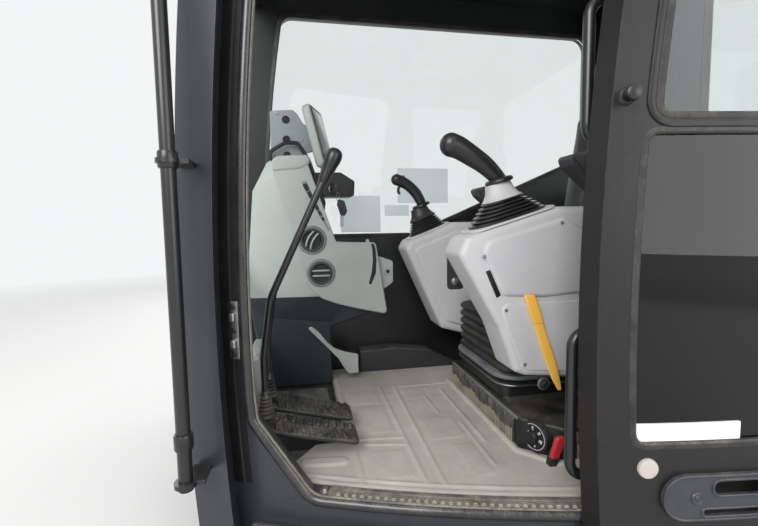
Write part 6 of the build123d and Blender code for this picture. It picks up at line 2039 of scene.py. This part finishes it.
# %% Lock lever: a tapered yellow blade with a round tip, hinged on a bolt
low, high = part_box("lock_lever")
lever_y = low.y
over = over_seat([
    (-88, -26), (-64, -26), (-90, -100), (-121, -190), (-140, -235), (-158, -266), (-167, -266), (-161, -235),
    (-148, -190), (-115, -100),
])
side_piece(
    "lock_lever_blade", over, 0.004, lever_y + 0.0008, lever_y + 0.0072, 0.0026, "seat", "lever_yellow",
    "lock_lever", steps=4, foot_edge=0.0015,
)
over = over_seat([(-90, -24), (-62, -24), (-87, -96), (-116, -96)])
side_piece(
    "lock_lever_grip", over, 0.006, lever_y - 0.0002, lever_y + 0.0086, 0.003, "seat", "lever_yellow",
    steps=5, foot_edge=0.002,
)
centre = (-0.121, lever_y - 0.003, (SEAT_TOP - 248) * MM)
turned_piece(
    "lock_lever_washer", [(0, 0), (0, 15.5), (3.4, 15.5), (4.2, 14), (4.2, 0)], centre, (0, 1, 0), "seat",
    "rail_steel", sides=32,
)
piece(
    "lock_lever_bolt",
    bolt(bmesh.new(), (centre[0], centre[1] + 0.004, centre[2]), (0, 1, 0), 0.0085, 0.006, 1.3), "seat",
    "frame_black", angle=30,
)

# %% Armrests: a moulded pad with a rounded nose, on a foot
ARM_PAD = ((-400, 50), (-400, 112), (-245, 136), (-192, 124), (-204, 98), (-268, 44))
ARM_FOOT = ((-338, 0), (-336, 59.7), (-262, 59.7), (-287, 0))
ARMS = (("left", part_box("left_console"), 185.5, ("armrests",)), ("right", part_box("right_console"), 157.0, ()))
for name, (low, high), console_top, nodes in ARMS:
    mid_y = (low.y + high.y) / 2
    side_piece(
        "armrest_" + name, over_seat([(x, z + console_top + 0.3) for x, z in ARM_PAD]), 0.014, mid_y - 0.029,
        mid_y + 0.029, 0.012, "seat", "console_dark", *nodes, steps=7, foot_edge=0.01,
    )
    foot = side_slab(
        bmesh.new(), over_seat([(x, z + console_top + 0.3) for x, z in ARM_FOOT]), 0.006, mid_y - 0.022,
        mid_y + 0.022, 0.005, foot_edge=0.004,
    )
    for s in (-1, 1):
        bolt(foot, (-0.318, mid_y + s * 0.0215, (SEAT_TOP + console_top + 20) * MM), (0, s, 0), 0.006, 0.004)
    piece("armrest_foot_" + name, foot, "seat", "frame_black")
print("seat base done")

# %% Details of the left console: painted shade in a slot and under the armrest, a latch, screws and a clip
# Flat black patches of painted shade: a thin slot near the front and a patch under the armrest.
over = over_seat([(31, 34), (20, 38), (-8, -24), (3, -30)])
hollow_shade = side_slab(bmesh.new(), over, 0.002, LEFT_FACE - 0.001, LEFT_FACE + 0.0014, 0.0005, steps=2)
over = over_seat([(-250, 60), (-262, 120), (-300, 132), (-330, 120), (-330, 70), (-300, 48)])
side_slab(hollow_shade, over, 0.01, LEFT_FACE - 0.001, LEFT_FACE + 0.001, 0.0007, steps=2)
piece("left_console_hollow_shade", hollow_shade, "seat", "frame_black")
over = over_seat([(-232, -150), (-254, -150), (-262, -205), (-250, -226), (-236, -224)])
side_piece(
    "console_latch", over, 0.006, LEFT_FACE + 0.003, LEFT_FACE + 0.0085, 0.0025, "seat", "console_light",
)
screws = bmesh.new()
for x, rise, out_by in (
    (-243, -160, 8.0), (-247, -214, 8.0), (-20, -60, 3.4), (-70, -196, 3.4), (-225, -48, 3.4),
    (-236, 10, 7.3), (38, 70, 7.3), (-160, 146, 7.3),
):
    bolt(screws, (x * MM, LEFT_FACE + out_by * MM, (SEAT_TOP + rise) * MM), (0, 1, 0), 0.003, 0.0016, 1.4)
piece("left_console_screws", screws, "seat", "rail_steel", angle=30)
over = over_seat([(-262, 86), (-286, 80), (-296, 96), (-282, 108), (-264, 102)])
side_piece("console_clip", over, 0.005, LEFT_FACE + 0.0006, LEFT_FACE + 0.007, 0.002, "seat", "console_light")

# %% [markdown]
# ## Door and windows
# Panes sit in black gaskets. The door carries an oval handle plate with finger slots over a pocket, a round
# lamp cap and a knob, and its label stays blank. The solids give the door as it stands open, so a point is
# given where it would be on the shut door and is then turned back along the rails.

# %% Points on the door, and gaskets round its panes
DOOR_R = SIDE_R + 0.058
DOOR_OPEN = math.radians(13.45)


def on_door(x, z, out):
    """A point on the open door, from its x on the shut door, its height, and how far out it lies."""
    t = math.asin((x - SIDE_X) / DOOR_R) - DOOR_OPEN
    return Vector((SIDE_X + (DOOR_R + out) * math.sin(t), SIDE_Y + (DOOR_R + out) * math.cos(t), z))


def door_spot(x, z, out=0.0):
    """A point on the open door, and the direction out of it."""
    return on_door(x, z, out), on_door(x, z, out + 0.01) - on_door(x, z, out)


def window(back, rear, low, high, radius):
    """Outline of a pane behind the front curve, anticlockwise from its lower front corner."""
    points = [(rear, low), (front_x(back, low), low)]
    points += [
        (front_x(back, low + (high - low) * k / 24), low + (high - low) * k / 24) for k in range(1, 24)
    ]
    points += [(front_x(back, high), high), (rear, high)]
    corners = [Vector(p) for p in points]
    made = []
    for i, p in enumerate(corners):
        before, after = corners[i - 1], corners[(i + 1) % len(corners)]
        u, v = (before - p).normalized(), (after - p).normalized()
        if u.angle(v) > 2.6:
            made.append(p)
            continue
        made += eased(p, u, v, radius / math.tan(u.angle(v) / 2), 8)
    return spread(made)


def spread(outline, step=0.03):
    """The same closed outline with points no further apart than a step."""
    made = []
    for i, p in enumerate(outline):
        after = outline[(i + 1) % len(outline)]
        count = max(1, math.ceil((after - p).length / step))
        made += [p + (after - p) * k / count for k in range(count)]
    return made


BEAD = (
    (-0.006, -0.0085), (-0.0065, -0.001), (-0.003, 0.0014), (0.004, 0.0016), (0.0065, 0.0004),
    (0.0065, -0.001), (0.001, -0.0012), (0.0002, -0.0085),
)
UPPER_PANE = window(0.162, -0.124, 0.909, 1.552, 0.028)
beads = gasket(bmesh.new(), UPPER_PANE, BEAD, on_door)
gasket(beads, window(0.146, -0.124, 0.305, 0.884, 0.028), BEAD, on_door)
GASKET = finish(
    "gasket_rubber", (22, 22, 24), 0.5, (34, 34, 36), grain=(0.0015, 0.00005), dust=(0.4, 0.05, 0.25),
)
piece("door_gaskets", beads, "door", "seal_rubber", material=GASKET, angle=30)
raised = (
    (0.009, -0.001), (0.009, 0.0022), (0.011, 0.0034), (0.019, 0.0034), (0.021, 0.0022), (0.021, -0.001),
)
piece("upper_pane_frame", gasket(bmesh.new(), UPPER_PANE, raised, on_door), "door", "door_paint", angle=30)

# %% Handle: a rolled rim round the plate and round its slots, and the lock
HANDLE = (0.399, 0.205)


def on_handle(x, z, out):
    """A point on the handle plate's outer face."""
    return on_door(x, z, 0.008 + out)


def slot_outline(x0, x1, z0, z1):
    """A slot's outline from its place on the plate, in millimetres."""
    r = (z1 - z0) / 2 * MM - 0.001
    x, z = HANDLE
    return spread(rectangle(x + x0 * MM, x + x1 * MM, z + z0 * MM, z + z1 * MM, r, 8), 0.012)


ROUND_RIM = [(0.0012 + 0.0026 * math.cos(a), 0.0002 + 0.002 * math.sin(a)) for a in angles(10)]
rims = gasket(
    bmesh.new(), slot_outline(-112.5, 112.5, -45, 45), [(a - 0.0035, b) for a, b in ROUND_RIM], on_handle,
)
for slot in ((-88, 24, 4, 33), (-80, 42, -36, -22)):
    gasket(rims, slot_outline(*slot), ROUND_RIM, on_handle)
PLATE = finish(
    "handle_plastic", (58, 60, 70), 0.34, (48, 50, 58), grain=(0.001, 0.00004),
    wear=(0.0012, 0.5, (150, 150, 150)), dust=(0.3, 0.06, 0.12),
)
piece("door_handle_rims", rims, "door", "grip_plastic", material=PLATE, angle=60)
repaint("door_handle", PLATE)
lock_spot = door_spot(0.452, 0.205, 0.0082)
lock = lathe(
    bmesh.new(), [(-2, 0), (-2, 12.5), (0.8, 12.3), (2.4, 10.8), (2.4, 9), (1.2, 8.5), (1.2, 0)], *lock_spot,
    sides=36,
)
lathe(lock, [(-2, 0), (-2, 5.5), (2, 5.3), (2.6, 4), (2.6, 0)], *lock_spot, sides=24)
piece("door_lock", lock, "door", "rail_steel", material=PLATE)

# %% Knob, lamp cap and the blank label on the lower pane
piece(
    "door_knob",
    lathe(
        bmesh.new(),
        [
            (-1, 0), (-1, 16.5), (3, 15), (6, 11.2), (15, 10.4), (18, 12.8), (22, 13.8), (26.2, 12.8),
            (28.5, 8.5), (29, 0),
        ],
        *door_spot(0.593, 0.942), sides=36,
    ),
    "door", "grip_plastic",
)
CAP = finish(
    "lamp_cap", (196, 190, 182), 0.3, (176, 170, 162), grain=(0.001, 0.00003), dust=(0.2, 0.04, 0.1), coat=0.3
)
piece(
    "door_lamp_cap",
    lathe(
        bmesh.new(), [(-1, 0), (-1, 19.5), (3.5, 19), (5.5, 18), (6, 16.8), (6.4, 12), (6.8, 6), (7, 0)],
        *door_spot(0.537, 0.263), sides=40,
    ),
    "door", "console_dark", material=CAP,
)
BRIGHT = finish("label_white", (246, 246, 250), 0.5, (236, 236, 242), grain=(0.002, 0.00001))


def on_pane(x, z, out):
    """A point on the outer face of the door's panes."""
    return on_door(x, z, out - 0.008)


outline = spread(rectangle(0.369, 0.56, 0.3125, 0.3465, 0.002, 3), 0.02)
rings = [[on_pane(p.x, p.y, out) for p in outline] for out in (0.0006, 0.004)]
piece("door_label", skin(bmesh.new(), rings, start=False), "door", "console_light", material=BRIGHT)

# %% Gaskets of the fixed windows
PANE_LOW, PANE_TOP = 0.88, 1.545
RIGHT_INSIDE, REAR_INSIDE, REAR_OUTSIDE = -0.375, -0.88, -0.93


def on_right(x, z, out):
    """A point on the right side's inner face."""
    return Vector((x, RIGHT_INSIDE + out, z))


def bevelled(corners, radius):
    """A window's outline with arcs at its corners and points along its sides."""
    return spread(arcs(corners, radius, 8), 0.05)


INNER_BEAD = (
    (-0.008, -0.01), (-0.0085, 0.0005), (-0.006, 0.0032), (0.004, 0.0034), (0.008, 0.0012), (0.008, -0.001),
    (0.0006, -0.001), (0.0004, -0.01),
)
front_side = [(front_x(0.12, z), z) for z in (0.69, 0.8, 0.95, 1.1, 1.25, 1.4, PANE_TOP)]
outline = bevelled([(-0.02, 0.69)] + front_side + [(-0.82, PANE_TOP), (-0.82, 1.024)], 0.05)
piece(
    "right_window_gasket", gasket(bmesh.new(), outline, INNER_BEAD, on_right), "cab", "seal_rubber",
    material=GASKET, angle=30,
)
outline = bevelled([(-0.315, PANE_LOW), (0.583, PANE_LOW), (0.583, PANE_TOP), (-0.315, PANE_TOP)], 0.055)
rear = gasket(bmesh.new(), outline, INNER_BEAD, lambda u, v, w: Vector((REAR_INSIDE + w, u, v)))
gasket(rear, outline, INNER_BEAD, lambda u, v, w: Vector((REAR_OUTSIDE - w, u, v)))
piece("rear_window_gasket", rear, "cab", "seal_rubber", material=GASKET, angle=30)
outline = bevelled([(-0.82, PANE_LOW), (-0.3, PANE_LOW), (-0.3, PANE_TOP), (-0.82, PANE_TOP)], 0.055)
piece(
    "quarter_window_gasket", gasket(bmesh.new(), outline, INNER_BEAD, on_skin), "cab", "seal_rubber",
    material=GASKET, angle=30,
)
print("door and windows done")
